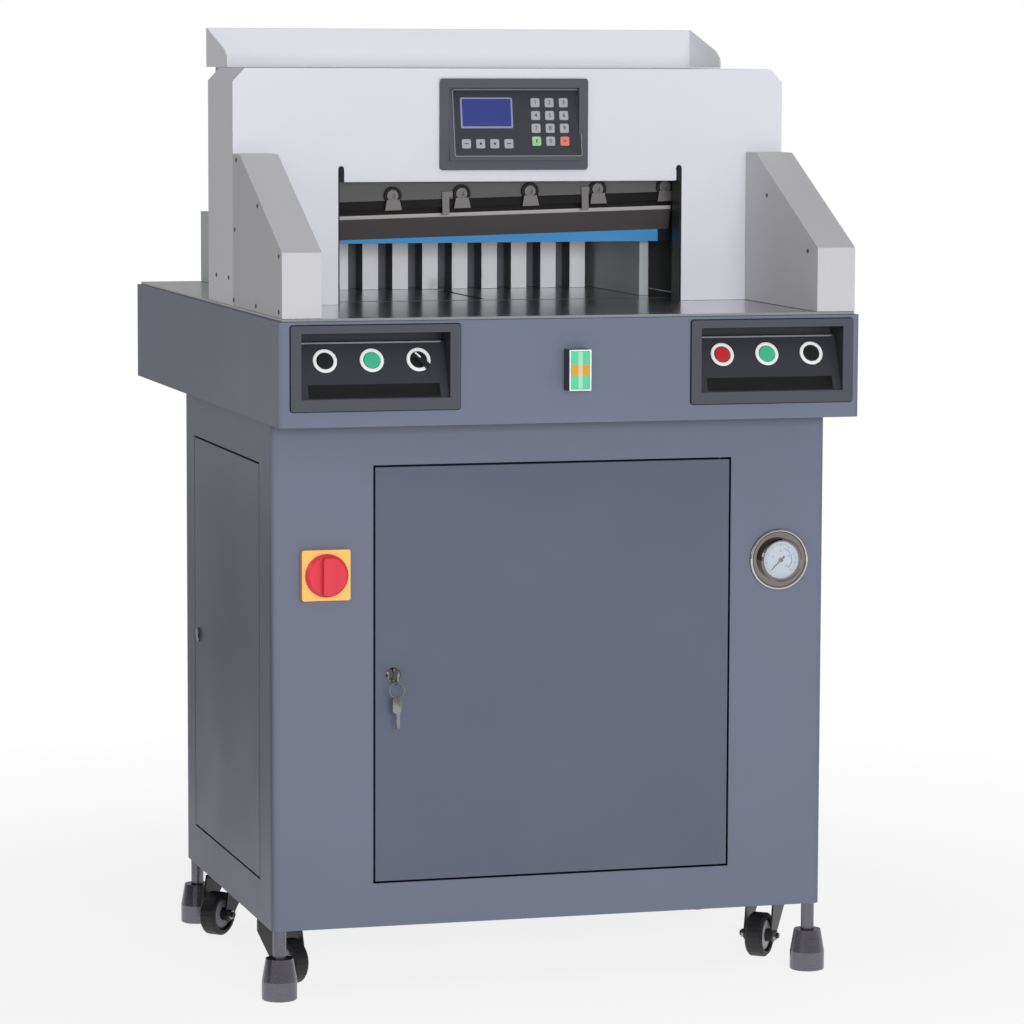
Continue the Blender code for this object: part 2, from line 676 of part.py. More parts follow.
def hinge_rod(name, height, frame, finish, wall_gap):
    """A vertical rod with a bracket at each end that reaches the back of the cabinet wall."""
    reach = DOOR_GAP + HINGE_BRACKET_CLEAR
    length = height + 2 * (reach + HINGE_BRACKET_HEIGHT)
    rod = cylinder(name, HINGE_RADIUS, length, (0.0, 0.0, height / 2), "Z", finish, frame)
    half = HINGE_BRACKET_WIDTH / 2
    front = -HINGE_SETBACK + CABINET_WALL + wall_gap
    for end, low in (("lower", -reach - HINGE_BRACKET_HEIGHT), ("upper", height + reach)):
        bracket = block(f"{name}_{end}_bracket", (-half, front, low - MERGE),
                        (half, HINGE_BRACKET_BACK, low + HINGE_BRACKET_HEIGHT + MERGE), parent=frame)
        fuse(rod, bracket)
    return rod


def lock(name, width, frame, finish):
    """A cam lock whose own +Z faces out of the door; the cam hangs down behind the sheet."""
    place = (HINGE_INSET - width + LOCK_EDGE, -HINGE_SETBACK, LOCK_HEIGHT)
    plug = turned(name, [(0.0, LOCK_HEAD_PROUD + GAP), (LOCK_HEAD_RADIUS - LOCK_HEAD_PROUD / 2,
                                                        LOCK_HEAD_PROUD + GAP),
                         (LOCK_HEAD_RADIUS, LOCK_HEAD_PROUD / 2 + GAP), (LOCK_HEAD_RADIUS, GAP),
                         (LOCK_BODY_RADIUS, GAP), (LOCK_BODY_RADIUS, -LOCK_BODY_LENGTH),
                         (0.0, -LOCK_BODY_LENGTH)], place, "Y", finish, frame)
    half = LOCK_CAM_WIDTH / 2
    rear = place[1] + LOCK_BODY_LENGTH
    fuse(plug, block(name + "_cam", (place[0] - half, rear - LOCK_CAM_THICKNESS, place[2] - LOCK_CAM_LENGTH),
                     (place[0] + half, rear + GAP, place[2] + half), parent=frame))
    return plug, place


def key_slot(name, place, frame):
    half = KEY_THICKNESS / 2 + GAP
    tall = KEY_SHANK_HEIGHT / 2 + GAP
    return block(name, (place[0] - half, place[1] - LOCK_HEAD_PROUD - OVERRUN, place[2] - tall),
                 (place[0] + half, place[1] + KEY_SLOT_DEPTH - LOCK_HEAD_PROUD, place[2] + tall),
                 parent=frame)


def door_key(name, place, frame):
    """A flat key seen edge-on: a shank in the lock and an eight-cornered bow outside it."""
    tip = KEY_SLOT_DEPTH - LOCK_HEAD_PROUD - GAP
    neck = -LOCK_HEAD_PROUD - KEY_NECK
    shank, bow = KEY_SHANK_HEIGHT / 2, KEY_BOW_HEIGHT / 2
    corner = KEY_BOW_LENGTH / 3
    end = neck - KEY_BOW_LENGTH
    lower = [(tip, -shank), (neck, -shank), (neck, -bow + corner), (neck - corner, -bow),
             (end + corner, -bow), (end, -bow + corner)]
    upper = [(across, -up) for across, up in reversed(lower)]
    return prism(name, lower + upper, KEY_THICKNESS, place, "YZ", KEY_NICKEL, frame)


def front_door_group():
    left, right, sill, lintel = front_door_edges()
    width, height = right - left, lintel - sill
    place = (right - HINGE_INSET, CABINET_FRONT + HINGE_SETBACK, sill)
    frame = axis_frame("front_door_axis", place)
    door("front_door", width, height, frame)
    hinge_rod("front_door_hinge", height, frame, DARK_STEEL, GAP)
    plug, lock_place = lock("front_door_lock", width, frame, CHROME)
    cut(plug, key_slot("front_door_key_slot", lock_place, frame))
    door_key("front_door_key", lock_place, frame)


def side_door_group(shell):
    front, rear, sill, lintel = side_door_edges()
    width, height = rear - front, lintel - sill
    place = (-CABINET_SIDE + HINGE_SETBACK, front + HINGE_INSET, sill)
    frame = axis_frame("left_side_door_axis", place, (0.0, 0.0, math.radians(-90.0)))
    door("left_side_door", width, height, frame)
    fuse(shell, hinge_rod("side_door_hinge", height, frame, None, -CABINET_WALL / 2))
    lock("left_side_door_lock", width, frame, CHROME)


def main_switch():
    x, z = -CABINET_SIDE + SWITCH_EDGE, CABINET_TOP - SWITCH_DROP
    half, tall = SWITCH_PLATE_WIDTH / 2, SWITCH_PLATE_HEIGHT / 2
    back = CABINET_FRONT - GAP
    front = back - SWITCH_PLATE_THICKNESS
    block("main_switch_plate", (x - half, front, z - tall), (x + half, back, z + tall), YELLOW_PLASTIC,
          rounding=SWITCH_PLATE_CORNER, along=1)
    foot = SWITCH_KNOB_THICKNESS / 2
    knob = turned("main_switch_knob", [(0.0, SWITCH_KNOB_THICKNESS), (SWITCH_KNOB_RADIUS - foot,
                                                                     SWITCH_KNOB_THICKNESS),
                                       (SWITCH_KNOB_RADIUS, foot), (SWITCH_KNOB_RADIUS, 0.0), (0.0, 0.0)],
                  (x, front - GAP, z), "Y", RED_PLASTIC, sides=FINE_SIDES)
    wide, high = SWITCH_HANDLE_WIDTH / 2, SWITCH_HANDLE_HEIGHT / 2
    face = front - GAP - SWITCH_KNOB_THICKNESS
    fuse(knob, block("switch_handle", (x - wide, face - SWITCH_HANDLE_DEPTH, z - high),
                     (x + wide, face + foot, z + high), rounding=wide / 2, along=1))


def pressure_gauge():
    centre = (CABINET_SIDE - GAUGE_EDGE, CABINET_FRONT, CABINET_TOP - GAUGE_DROP)
    flange_top = GAP + GAUGE_FLANGE_THICKNESS
    rim_top = flange_top + GAUGE_BEZEL_PROUD
    floor = rim_top - GAUGE_RECESS_DEPTH
    lip = (GAUGE_BEZEL_RADIUS - GAUGE_RECESS_RADIUS) / 2
    turned("pressure_gauge_case", [(0.0, floor), (GAUGE_RECESS_RADIUS, floor), (GAUGE_RECESS_RADIUS, rim_top),
                                   (GAUGE_BEZEL_RADIUS - lip, rim_top), (GAUGE_BEZEL_RADIUS, rim_top - lip),
                                   (GAUGE_BEZEL_RADIUS, flange_top), (GAUGE_FLANGE_RADIUS, flange_top),
                                   (GAUGE_FLANGE_RADIUS, GAP), (GAUGE_BODY_RADIUS, GAP),
                                   (GAUGE_BODY_RADIUS, -GAUGE_BODY_LENGTH), (0.0, -GAUGE_BODY_LENGTH)],
           centre, "Y", CHROME, sides=FINE_SIDES)
    floor_y = CABINET_FRONT - floor - GAP
    frame = axis_frame("gauge_needle_axis", (centre[0], floor_y, centre[2]), (0.0, NEEDLE_REST_ANGLE, 0.0))
    needle = cylinder("pressure_gauge_needle", NEEDLE_HUB_RADIUS, NEEDLE_HUB_HEIGHT,
                      (0.0, -NEEDLE_HUB_HEIGHT / 2, 0.0), "Y", DIAL_NEEDLE, frame, sides=ROUND_SIDES // 2)
    half = NEEDLE_WIDTH / 2
    pointer = prism("needle_pointer", [(-half, -NEEDLE_TAIL), (half, -NEEDLE_TAIL), (half / 3, NEEDLE_LENGTH),
                                       (-half / 3, NEEDLE_LENGTH)], NEEDLE_THICKNESS,
                    (0.0, -NEEDLE_HUB_HEIGHT / 2, 0.0), "XZ", parent=frame)
    fuse(needle, pointer)


def foot_place(end, side):
    x = CABINET_SIDE - FOOT_EDGE
    y = CABINET_FRONT + FOOT_FRONT if end == "front" else CABINET_REAR - FOOT_REAR
    return (-x if side == "left" else x), y


def caster_place(end, side):
    x = CABINET_SIDE - CASTER_EDGE
    y = CABINET_FRONT + CASTER_FRONT if end == "front" else CABINET_REAR - CASTER_REAR
    return (-x if side == "left" else x), y


def levelling_foot(end, side):
    x, y = foot_place(end, side)
    stem_top = CABINET_BOTTOM + FOOT_STEM_REACH
    turned(f"{end}_{side}_levelling_foot",
           [(0.0, stem_top), (FOOT_STEM_RADIUS - FOOT_CHAMFER, stem_top),
            (FOOT_STEM_RADIUS, stem_top - FOOT_CHAMFER), (FOOT_STEM_RADIUS, FOOT_CONE_TOP),
            (FOOT_NECK_RADIUS, FOOT_CONE_TOP), (FOOT_RADIUS, FOOT_CYLINDER_HEIGHT),
            (FOOT_RADIUS, FOOT_CHAMFER), (FOOT_RADIUS - FOOT_CHAMFER, 0.0), (0.0, 0.0)],
           (x, y, 0.0), "Z", DARK_STEEL)


def caster_fork(name, frame):
    """A race and a plate under the pad, a kingpin into it, and two cheeks that hold the axle."""
    race_top = CABINET_BOTTOM - CASTER_PAD_THICKNESS - GAP
    bottom = race_top - FORK_CROWN_THICKNESS
    plate_top = bottom + FORK_PLATE_THICKNESS
    race_bottom = bottom + FORK_PLATE_THICKNESS / 2
    fork = turned(name, [(0.0, race_top + KINGPIN_LENGTH), (KINGPIN_RADIUS, race_top + KINGPIN_LENGTH),
                         (KINGPIN_RADIUS, race_top), (FORK_RACE_RADIUS, race_top),
                         (FORK_RACE_RADIUS, race_bottom), (0.0, race_bottom)],
                  (0.0, 0.0, 0.0), "Z", BLACK_ENAMEL, frame)
    cheek_middle = WHEEL_HUB_WIDTH / 2 + GAP + FORK_CHEEK_THICKNESS / 2
    half = FORK_LENGTH / 2
    inner = half - GAP
    fuse(fork, block(name + "_plate", (-inner, -cheek_middle, bottom), (inner, cheek_middle, plate_top),
                     parent=frame))
    outline = [(half, plate_top + GAP), (-half, plate_top + GAP), (-half, bottom - FORK_SKIRT)]
    outline += arc((CASTER_TRAIL, AXLE_Z), FORK_CHEEK_RADIUS, 200.0, 380.0, 8)
    for side, sign in (("near", -1), ("far", 1)):
        fuse(fork, prism(f"{name}_{side}_cheek", outline, FORK_CHEEK_THICKNESS,
                         (0.0, sign * cheek_middle, 0.0), "XZ", parent=frame))
    fuse(fork, cylinder(name + "_axle", AXLE_RADIUS, AXLE_LENGTH, (CASTER_TRAIL, 0.0, AXLE_Z), "Y",
                        parent=frame, sides=ROUND_SIDES // 2))
    return fork


def caster_wheel(name, frame):
    half, hub, disc = WHEEL_WIDTH / 2, WHEEL_HUB_WIDTH / 2, WHEEL_DISC_WIDTH / 2
    rim = WHEEL_RADIUS - WHEEL_TREAD_DEPTH
    down = [(AXLE_RADIUS + GAP, hub), (WHEEL_HUB_RADIUS, hub), (WHEEL_HUB_RADIUS, disc), (rim, disc),
            (rim, half), (WHEEL_RADIUS - WHEEL_SHOULDER, half), (WHEEL_RADIUS, half - WHEEL_SHOULDER)]
    profile = down + [(radius, -height) for radius, height in reversed(down)]
    turned(name, profile, (CASTER_TRAIL, 0.0, AXLE_Z), "Y", TYRE_RUBBER, frame, closed=True)


def caster(end, side):
    x, y = caster_place(end, side)
    heading = CASTER_HEADINGS[(end, side)]
    frame = axis_frame(f"{end}_{side}_caster_axis", (x, y, 0.0), (0.0, 0.0, heading))
    caster_fork(f"{end}_{side}_caster_fork", frame)
    caster_wheel(f"{end}_{side}_caster_wheel", frame)


def panel_centre(side):
    return LEFT_PANEL_EDGE - DECK_SIDE if side == "left" else DECK_SIDE - RIGHT_PANEL_EDGE


def table_apron():
    low = (-DECK_SIDE, DECK_FRONT, APRON_BOTTOM)
    apron = block("table_apron", low, (DECK_SIDE, DECK_REAR, APRON_TOP), GREY_PAINT, rounding=APRON_CORNER)
    side, sheet = DECK_SIDE - APRON_SHEET, APRON_SHEET
    cut(apron, block("apron_inside", (-side, DECK_FRONT + sheet, APRON_BOTTOM + sheet),
                     (side, DECK_REAR - sheet, APRON_TOP - sheet), rounding=APRON_CORNER - sheet))
    side = DECK_SIDE - APRON_FLANGE
    cut(apron, block("apron_well", (-side, DECK_FRONT + APRON_FLANGE, APRON_BOTTOM - OVERRUN),
                     (side, DECK_REAR - APRON_FLANGE, APRON_TOP + OVERRUN)))
    for side in ("left", "right"):
        x = panel_centre(side)
        half = PANEL_OPENING_WIDTH / 2 + PANEL_BOX_WALL + GAP
        cut(apron, block(f"{side}_panel_cutout",
                         (x - half, DECK_FRONT - OVERRUN, PANEL_OPENING_BOTTOM - PANEL_BOX_WALL - GAP),
                         (x + half, DECK_FRONT + APRON_SHEET + OVERRUN,
                          PANEL_OPENING_TOP + PANEL_BOX_WALL + GAP)))
    cut(apron, cylinder("screw_rear_bearing", SCREW_JOURNAL_RADIUS + GAP, APRON_SHEET * 4,
                        (SLOT_X, SCREW_REAR, SCREW_Z), "Y"))
    return apron


def work_table():
    side, front, rear = DECK_SIDE - TABLE_INSET, DECK_FRONT + TABLE_INSET, DECK_REAR - TABLE_INSET
    table = block("work_table", (-side, front, TABLE_BOTTOM), (side, rear, TABLE_TOP), TABLE_STEEL,
                  rounding=APRON_CORNER - TABLE_INSET)
    low, high = TABLE_BOTTOM - OVERRUN, TABLE_TOP + OVERRUN
    half = TABLE_SLOT_WIDTH / 2
    cut(table, block("gauge_slot", (SLOT_X - half, TABLE_SLOT_FRONT, low),
                     (SLOT_X + half, TABLE_SLOT_REAR, high)))
    cut(table, stick_groove("table_stick_groove", high))
    for name, hole in rod_holes("table").items():
        cut(table, cylinder(name, hole[0], TABLE_THICKNESS * 6, (hole[1], hole[2], TABLE_TOP), "Z"))
    return table


def rod_holes(prefix):
    """Radius and place of each hole that a pull rod passes through."""
    clamp_hole = CLAMP_ROD_RADIUS + GAP
    return {
        prefix + "_knife_rod_hole": (KNIFE_ROD_RADIUS + GAP, -PULL_ROD_X, KNIFE_ROD_Y),
        prefix + "_left_rod_hole": (clamp_hole, -PULL_ROD_X, CLAMP_ROD_Y),
        prefix + "_right_rod_hole": (clamp_hole, PULL_ROD_X, CLAMP_ROD_Y),
    }


def stick_bounds():
    half, middle = OPENING_SIDE + STICK_END_OVERLAP, BLADE_BACK - STICK_SIZE / 8
    front, rear = middle - STICK_SIZE / 2, middle + STICK_SIZE / 2
    return (-half, front, TABLE_TOP - STICK_SIZE), (half, rear, TABLE_TOP)


def stick_groove(name, top):
    low, high = stick_bounds()
    return block(name, (low[0] - GAP, low[1] - GAP, low[2] - GAP), (high[0] + GAP, high[1] + GAP, top))


def bed_frame():
    bed = block("bed_frame", (-BED_SIDE, BED_FRONT, BED_BOTTOM), (BED_SIDE, BED_REAR, BED_TOP), FRAME_PAINT)
    for side, sign in (("left", -1), ("right", 1)):
        outer, inner = sign * BED_SIDE, sign * (BED_SIDE - BED_WEB_THICKNESS)
        fuse(bed, block(f"{side}_bed_web", (min(outer, inner), BED_FRONT, APRON_BOTTOM),
                        (max(outer, inner), BED_REAR, BED_TOP - BED_THICKNESS / 2)))
    half = BED_SLOT_WIDTH / 2
    cut(bed, block("bed_slot", (SLOT_X - half, SCREW_FRONT, BED_BOTTOM - OVERRUN),
                   (SLOT_X + half, BED_REAR + OVERRUN, BED_TOP + OVERRUN)))
    cut(bed, cylinder("screw_front_bearing", SCREW_JOURNAL_RADIUS + GAP, SCREW_JOURNAL_LENGTH * 2 + GAP,
                      (SLOT_X, SCREW_FRONT, SCREW_Z), "Y"))
    cut(bed, stick_groove("bed_stick_groove", BED_TOP + OVERRUN))
    for name, hole in rod_holes("bed").items():
        cut(bed, cylinder(name, hole[0], BED_THICKNESS * 3, (hole[1], hole[2], BED_TOP), "Z"))
    return bed


def head_frame():
    """Two uprights on the table, joined by a beam above the clamp."""
    front = HEAD_FRONT + UPRIGHT_SETBACK
    rear = front + UPRIGHT_DEPTH
    top = ON_TABLE + UPRIGHT_HEIGHT
    outer = UPRIGHT_OUTER
    frame = block("head_frame", (-outer, front, ON_TABLE), (outer, rear, top), FRAME_PAINT)
    beam_bottom, beam_front = top - BEAM_HEIGHT, rear - BEAM_DEPTH
    inner = UPRIGHT_INNER
    cut(frame, block("frame_throat", (-inner, front - OVERRUN, ON_TABLE - OVERRUN),
                     (inner, rear + OVERRUN, beam_bottom)))
    cut(frame, block("frame_front_space", (-inner, front - OVERRUN, beam_bottom - OVERRUN),
                     (inner, beam_front, top + OVERRUN)))
    return frame


def control_panel(side):
    """A frame let into the apron with a box behind it and a face that slopes towards the user."""
    x = panel_centre(side)
    half = PANEL_WIDTH / 2
    panel = block(f"{side}_control_panel", (x - half, DECK_FRONT - GAP - PANEL_PROUD, PANEL_BOTTOM),
                  (x + half, DECK_FRONT - GAP, PANEL_TOP), FRAME_PLASTIC, rounding=PANEL_CORNER, along=1)
    box_half = PANEL_OPENING_WIDTH / 2 + PANEL_BOX_WALL
    fuse(panel, block(f"{side}_panel_box",
                      (x - box_half, DECK_FRONT - PANEL_PROUD / 2, PANEL_OPENING_BOTTOM - PANEL_BOX_WALL),
                      (x + box_half, DECK_FRONT + PANEL_BOX_DEPTH, PANEL_OPENING_TOP + PANEL_BOX_WALL)))
    face_top = PANEL_OPENING_BOTTOM + PANEL_FACE_HEIGHT
    slope_depth = PANEL_FACE_FOOT + PANEL_FACE_HEIGHT * math.tan(PANEL_FACE_TILT)
    front, back = DECK_FRONT - PANEL_PROUD - OVERRUN, DECK_FRONT + PANEL_BOX_DEPTH - PANEL_BOX_WALL
    recess = [(front, PANEL_OPENING_BOTTOM), (DECK_FRONT + PANEL_FACE_FOOT, PANEL_OPENING_BOTTOM),
              (DECK_FRONT + slope_depth, face_top), (back, face_top), (back, PANEL_OPENING_TOP),
              (front, PANEL_OPENING_TOP)]
    cut(panel, prism(f"{side}_panel_recess", recess, PANEL_OPENING_WIDTH, (x, 0.0, 0.0), "YZ"))
    for place in (-1, 0, 1):
        frame = button_frame(side, place)
        depth = BUTTON_SUNK + BUTTON_TRAVEL + GAP
        cut(panel, cylinder(f"{side}_button_hole_{place + 2}", BUTTON_RADIUS + GAP, depth * 2,
                            (0.0, 0.0, 0.0), "Z", parent=frame))
    return panel


def button_frame(side, place):
    """An empty on the sloped face whose +Z points out of the face."""
    rise = BUTTON_RISE
    centre = (panel_centre(side) + place * BUTTON_PITCH,
              DECK_FRONT + PANEL_FACE_FOOT + rise * math.tan(PANEL_FACE_TILT), PANEL_OPENING_BOTTOM + rise)
    turn = (math.radians(90.0) - PANEL_FACE_TILT, 0.0, 0.0)
    return axis_frame(f"{side}_button_axis_{place + 2}", centre, turn)


def push_button(name, side, place, finish):
    edge = BUTTON_PROUD / 4
    turned(name, [(0.0, BUTTON_PROUD), (BUTTON_RADIUS - edge, BUTTON_PROUD),
                  (BUTTON_RADIUS, BUTTON_PROUD - edge), (BUTTON_RADIUS, -BUTTON_SUNK), (0.0, -BUTTON_SUNK)],
           (0.0, 0.0, 0.0), "Z", finish, button_frame(side, place))


def selector_knob(name, side, place):
    """A turning disc with a bar handle that points to the lower right."""
    frame = button_frame(side, place)
    turn = axis_frame(name + "_turn", (0.0, 0.0, 0.0), (0.0, 0.0, SELECTOR_REST_ANGLE), frame)
    knob = cylinder(name, BUTTON_RADIUS, BUTTON_SUNK + BUTTON_PROUD / 2,
                    (0.0, 0.0, BUTTON_PROUD / 4 - BUTTON_SUNK / 2), "Z", BLACK_PLASTIC, turn)
    half = SELECTOR_HANDLE_WIDTH / 2
    tail = BUTTON_RADIUS - half / 2
    fuse(knob, block(name + "_handle", (-half, tail - SELECTOR_HANDLE_LENGTH, 0.0),
                     (half, tail, SELECTOR_HANDLE_DEPTH), parent=turn, rounding=half / 2))


def rocker_switch():
    half, tall = ROCKER_WIDTH / 2, ROCKER_HEIGHT / 2
    middle = APRON_TOP - ROCKER_DROP
    back, front = DECK_FRONT - GAP, DECK_FRONT - ROCKER_PROUD
    body = block("rocker_switch_body", (-half, front, middle - tall), (half, back, middle + tall),
                 BLACK_PLASTIC)
    wide, high = half - ROCKER_RIM, tall - ROCKER_RIM
    floor = front + ROCKER_RECESS
    cut(body, block("rocker_recess", (-wide, front - OVERRUN, middle - high), (wide, floor, middle + high)))
    frame = axis_frame("rocker_axis", (0.0, floor - GAP, middle))
    wide, high = wide - GAP, high - ROCKER_RIM / 4
    key_back = -(ROCKER_RECESS - GAP - ROCKER_KEY_THICKNESS)
    key = block("rocker_switch_key", (-wide, key_back - ROCKER_KEY_THICKNESS, -high), (wide, key_back, high),
                GREEN_PLASTIC, frame)
    pivot = ROCKER_PIVOT_HEIGHT / 2
    fuse(key, prism("rocker_pivot", [(key_back - ROCKER_KEY_THICKNESS / 2, -pivot), (0.0, 0.0),
                                     (key_back - ROCKER_KEY_THICKNESS / 2, pivot)],
                    2 * wide - 2 * ROCKER_RIM, (0.0, 0.0, 0.0), "YZ", parent=frame))


def head_outline(side, bottom, top, chamfer_width, chamfer_height):
    """The head seen from the front: upright sides and chamfered upper corners."""
    return [(-side, bottom), (side, bottom), (side, top - chamfer_height), (side - chamfer_width, top),
            (-side + chamfer_width, top), (-side, top - chamfer_height)]


def throat_outline(bottom):
    """The opening over the table, with a round-ended slot at each upper corner."""
    radius = SLOT_WIDTH / 2
    slot_top = OPENING_TOP + SLOT_HEIGHT
    right = arc((OPENING_SIDE - radius, slot_top - radius), radius, 0.0, 180.0, 8)
    right.append((OPENING_SIDE - SLOT_WIDTH - SLOT_SLANT, OPENING_TOP))
    left = arc((-OPENING_SIDE + radius, slot_top - radius), radius, 0.0, 180.0, 8)
    left.insert(0, (-OPENING_SIDE + SLOT_WIDTH, OPENING_TOP))
    return [(OPENING_SIDE, bottom)] + right + left + [(-OPENING_SIDE, bottom)]


def console_bounds():
    """Left, right, bottom and top of the console's outer rim."""
    half = CONSOLE_WIDTH / 2
    top = HEAD_TOP - CONSOLE_DROP
    return CONSOLE_OFFSET - half, CONSOLE_OFFSET + half, top - CONSOLE_HEIGHT, top


def head_front_panel():
    outline = head_outline(HEAD_SIDE, ON_TABLE, HEAD_TOP, HEAD_CHAMFER_WIDTH, HEAD_CHAMFER_HEIGHT)
    panel = prism("head_front_panel", outline, HEAD_SHEET, (0.0, HEAD_FRONT + HEAD_SHEET / 2, 0.0), "XZ",
                  PALE_PAINT)
    cut(panel, prism("throat_cut", throat_outline(ON_TABLE - OVERRUN), HEAD_SHEET + 2 * OVERRUN,
                     (0.0, HEAD_FRONT, 0.0), "XZ"))
    left, right, bottom, top = console_bounds()
    border = CONSOLE_BOX_INSET - GAP
    cut(panel, block("console_cut", (left + border, HEAD_FRONT - OVERRUN, bottom + border),
                     (right - border, HEAD_FRONT + HEAD_SHEET + OVERRUN, top - border)))
    return panel


def head_cover():
    depth = HEAD_REAR - COVER_FRONT
    middle = (COVER_FRONT + HEAD_REAR) / 2
    outline = head_outline(HEAD_SIDE, ON_TABLE, HEAD_TOP, HEAD_CHAMFER_WIDTH, HEAD_CHAMFER_HEIGHT)
    cover = prism("head_cover", outline, depth, (0.0, middle, 0.0), "XZ", PALE_PAINT)
    inside = head_outline(HEAD_SIDE - HEAD_SHEET, ON_TABLE - OVERRUN, HEAD_TOP - HEAD_SHEET,
                          HEAD_CHAMFER_WIDTH, HEAD_CHAMFER_HEIGHT)
    cut(cover, prism("head_inside", inside, depth + OVERRUN - HEAD_SHEET,
                     (0.0, middle - (HEAD_SHEET + OVERRUN) / 2, 0.0), "XZ"))
    half = REAR_COVER_SIDE - REAR_COVER_SHEET
    cut(cover, block("head_rear_opening", (-half, HEAD_REAR - HEAD_SHEET - OVERRUN, ON_TABLE - OVERRUN),
                     (half, HEAD_REAR + OVERRUN, ON_TABLE + REAR_COVER_HEIGHT - REAR_COVER_SHEET / 2 + GAP)))
    return cover


def hand_guard(side):
    """A sheet cover with a sloping top, open below and towards the head."""
    sign = -1 if side == "left" else 1
    outer = DECK_SIDE - TABLE_INSET
    middle = sign * (outer - GUARD_WIDTH / 2)
    front, rear = DECK_FRONT + TABLE_INSET, HEAD_FRONT - GAP
    shelf = rear - GUARD_SHELF
    low, high = ON_TABLE + GUARD_FRONT_HEIGHT, ON_TABLE + GUARD_HEIGHT
    outline = [(front, ON_TABLE), (front, low), (shelf, high), (rear, high), (rear, ON_TABLE)]
    guard = prism(f"{side}_hand_guard", outline, GUARD_WIDTH, (middle, 0.0, 0.0), "YZ", GUARD_PAINT)
    wall = GUARD_SHEET
    slope = (high - low) / (shelf - front)
    drop = wall / math.cos(math.atan(slope))
    inside = [(front + wall, ON_TABLE - OVERRUN), (front + wall, low - drop + wall * slope),
              (shelf, high - drop), (rear + OVERRUN, high - drop), (rear + OVERRUN, ON_TABLE - OVERRUN)]
    cut(guard, prism(f"{side}_guard_inside", inside, GUARD_WIDTH - 2 * wall, (middle, 0.0, 0.0), "YZ"))
    return guard


def top_tray():
    """A base with a back wall and two wings that fall towards the front."""
    front = HEAD_REAR + TRAY_SETBACK
    rear = front + TRAY_DEPTH
    bottom = HEAD_TOP + GAP
    top = bottom + TRAY_HEIGHT
    outline = [(front, bottom), (rear, bottom), (rear, top),
               (front + TRAY_LIP_DEPTH, bottom + TRAY_LIP_HEIGHT), (front, bottom + TRAY_WING_RISE)]
    tray = prism("top_tray", outline, 2 * TRAY_SIDE, (0.0, 0.0, 0.0), "YZ", PALE_PAINT)
    half = TRAY_SIDE - TRAY_SHEET
    cut(tray, block("tray_inside", (-half, front - OVERRUN, bottom + TRAY_SHEET),
                    (half, rear - TRAY_SHEET, top + OVERRUN)))
    return tray


def rear_housing():
    half = HOUSING_SIDE
    front, rear = HEAD_REAR + GAP, HEAD_REAR + HOUSING_DEPTH
    bottom = HEAD_TOP - HOUSING_HEIGHT
    housing = block("rear_housing", (-half, front, bottom), (half, rear, HEAD_TOP), PALE_PAINT)
    sheet = HEAD_SHEET
    cut(housing, block("housing_inside", (-half + sheet, front + sheet, bottom - OVERRUN),
                       (half - sheet, rear - sheet, HEAD_TOP - sheet)))
    return housing


def rear_table_cover():
    """A cover over the rear of the table, with a fence at each side of the back gauge."""
    half, sheet = REAR_COVER_SIDE, REAR_COVER_SHEET
    front, rear = HEAD_REAR + GAP, DECK_REAR - TABLE_INSET
    top = ON_TABLE + REAR_COVER_HEIGHT
    cover = block("rear_table_cover", (-half, front, ON_TABLE), (half, rear, top), PALE_PAINT)
    cut(cover, block("rear_cover_inside", (-half + sheet, front - OVERRUN, ON_TABLE - OVERRUN),
                     (half - sheet, rear - sheet, top - sheet)))
    for side, sign in (("left", -1), ("right", 1)):
        inner, outer = sign * FENCE_INNER, sign * (FENCE_INNER + FENCE_THICKNESS)
        fuse(cover, block(f"{side}_fence", (min(inner, outer), front - FENCE_REACH, ON_TABLE),
                          (max(inner, outer), rear - sheet / 2, top - sheet / 2)))
    return cover


def console_housing():
    """A rim on the head, a box behind it and a face that leans out at the bottom."""
    left, right, bottom, top = console_bounds()
    back = HEAD_FRONT - GAP
    rim_front = back - CONSOLE_RIM_PROUD
    console = block("console_housing", (left, rim_front, bottom), (right, back, top), FRAME_PLASTIC,
                    rounding=CONSOLE_CORNER, along=1)
    border = CONSOLE_BORDER
    inner_left, inner_right = left + border, right - border
    inner_bottom, inner_top = bottom + border, top - border
    wall = CONSOLE_BOX_INSET
    fuse(console, block("console_box", (left + wall, back - CONSOLE_RIM_PROUD / 2, bottom + wall),
                        (right - wall, HEAD_FRONT + CONSOLE_BOX_DEPTH, top - wall)))
    wedge = [(rim_front + GAP, inner_top), (HEAD_FRONT - CONSOLE_PROUD, inner_bottom),
             (back, inner_bottom), (back, inner_top)]
    width = inner_right - inner_left
    fuse(console, prism("console_wedge", wedge, width, (CONSOLE_OFFSET, 0.0, 0.0), "YZ"))
    lowest = HEAD_FRONT - CONSOLE_PROUD
    hollow = [(rim_front - OVERRUN, inner_top), (HEAD_FRONT + CONSOLE_FACE_RECESS, inner_top),
              (lowest, inner_bottom), (lowest - OVERRUN, inner_bottom)]
    cut(console, prism("console_hollow", hollow, width, (CONSOLE_OFFSET, 0.0, 0.0), "YZ"))
    return console


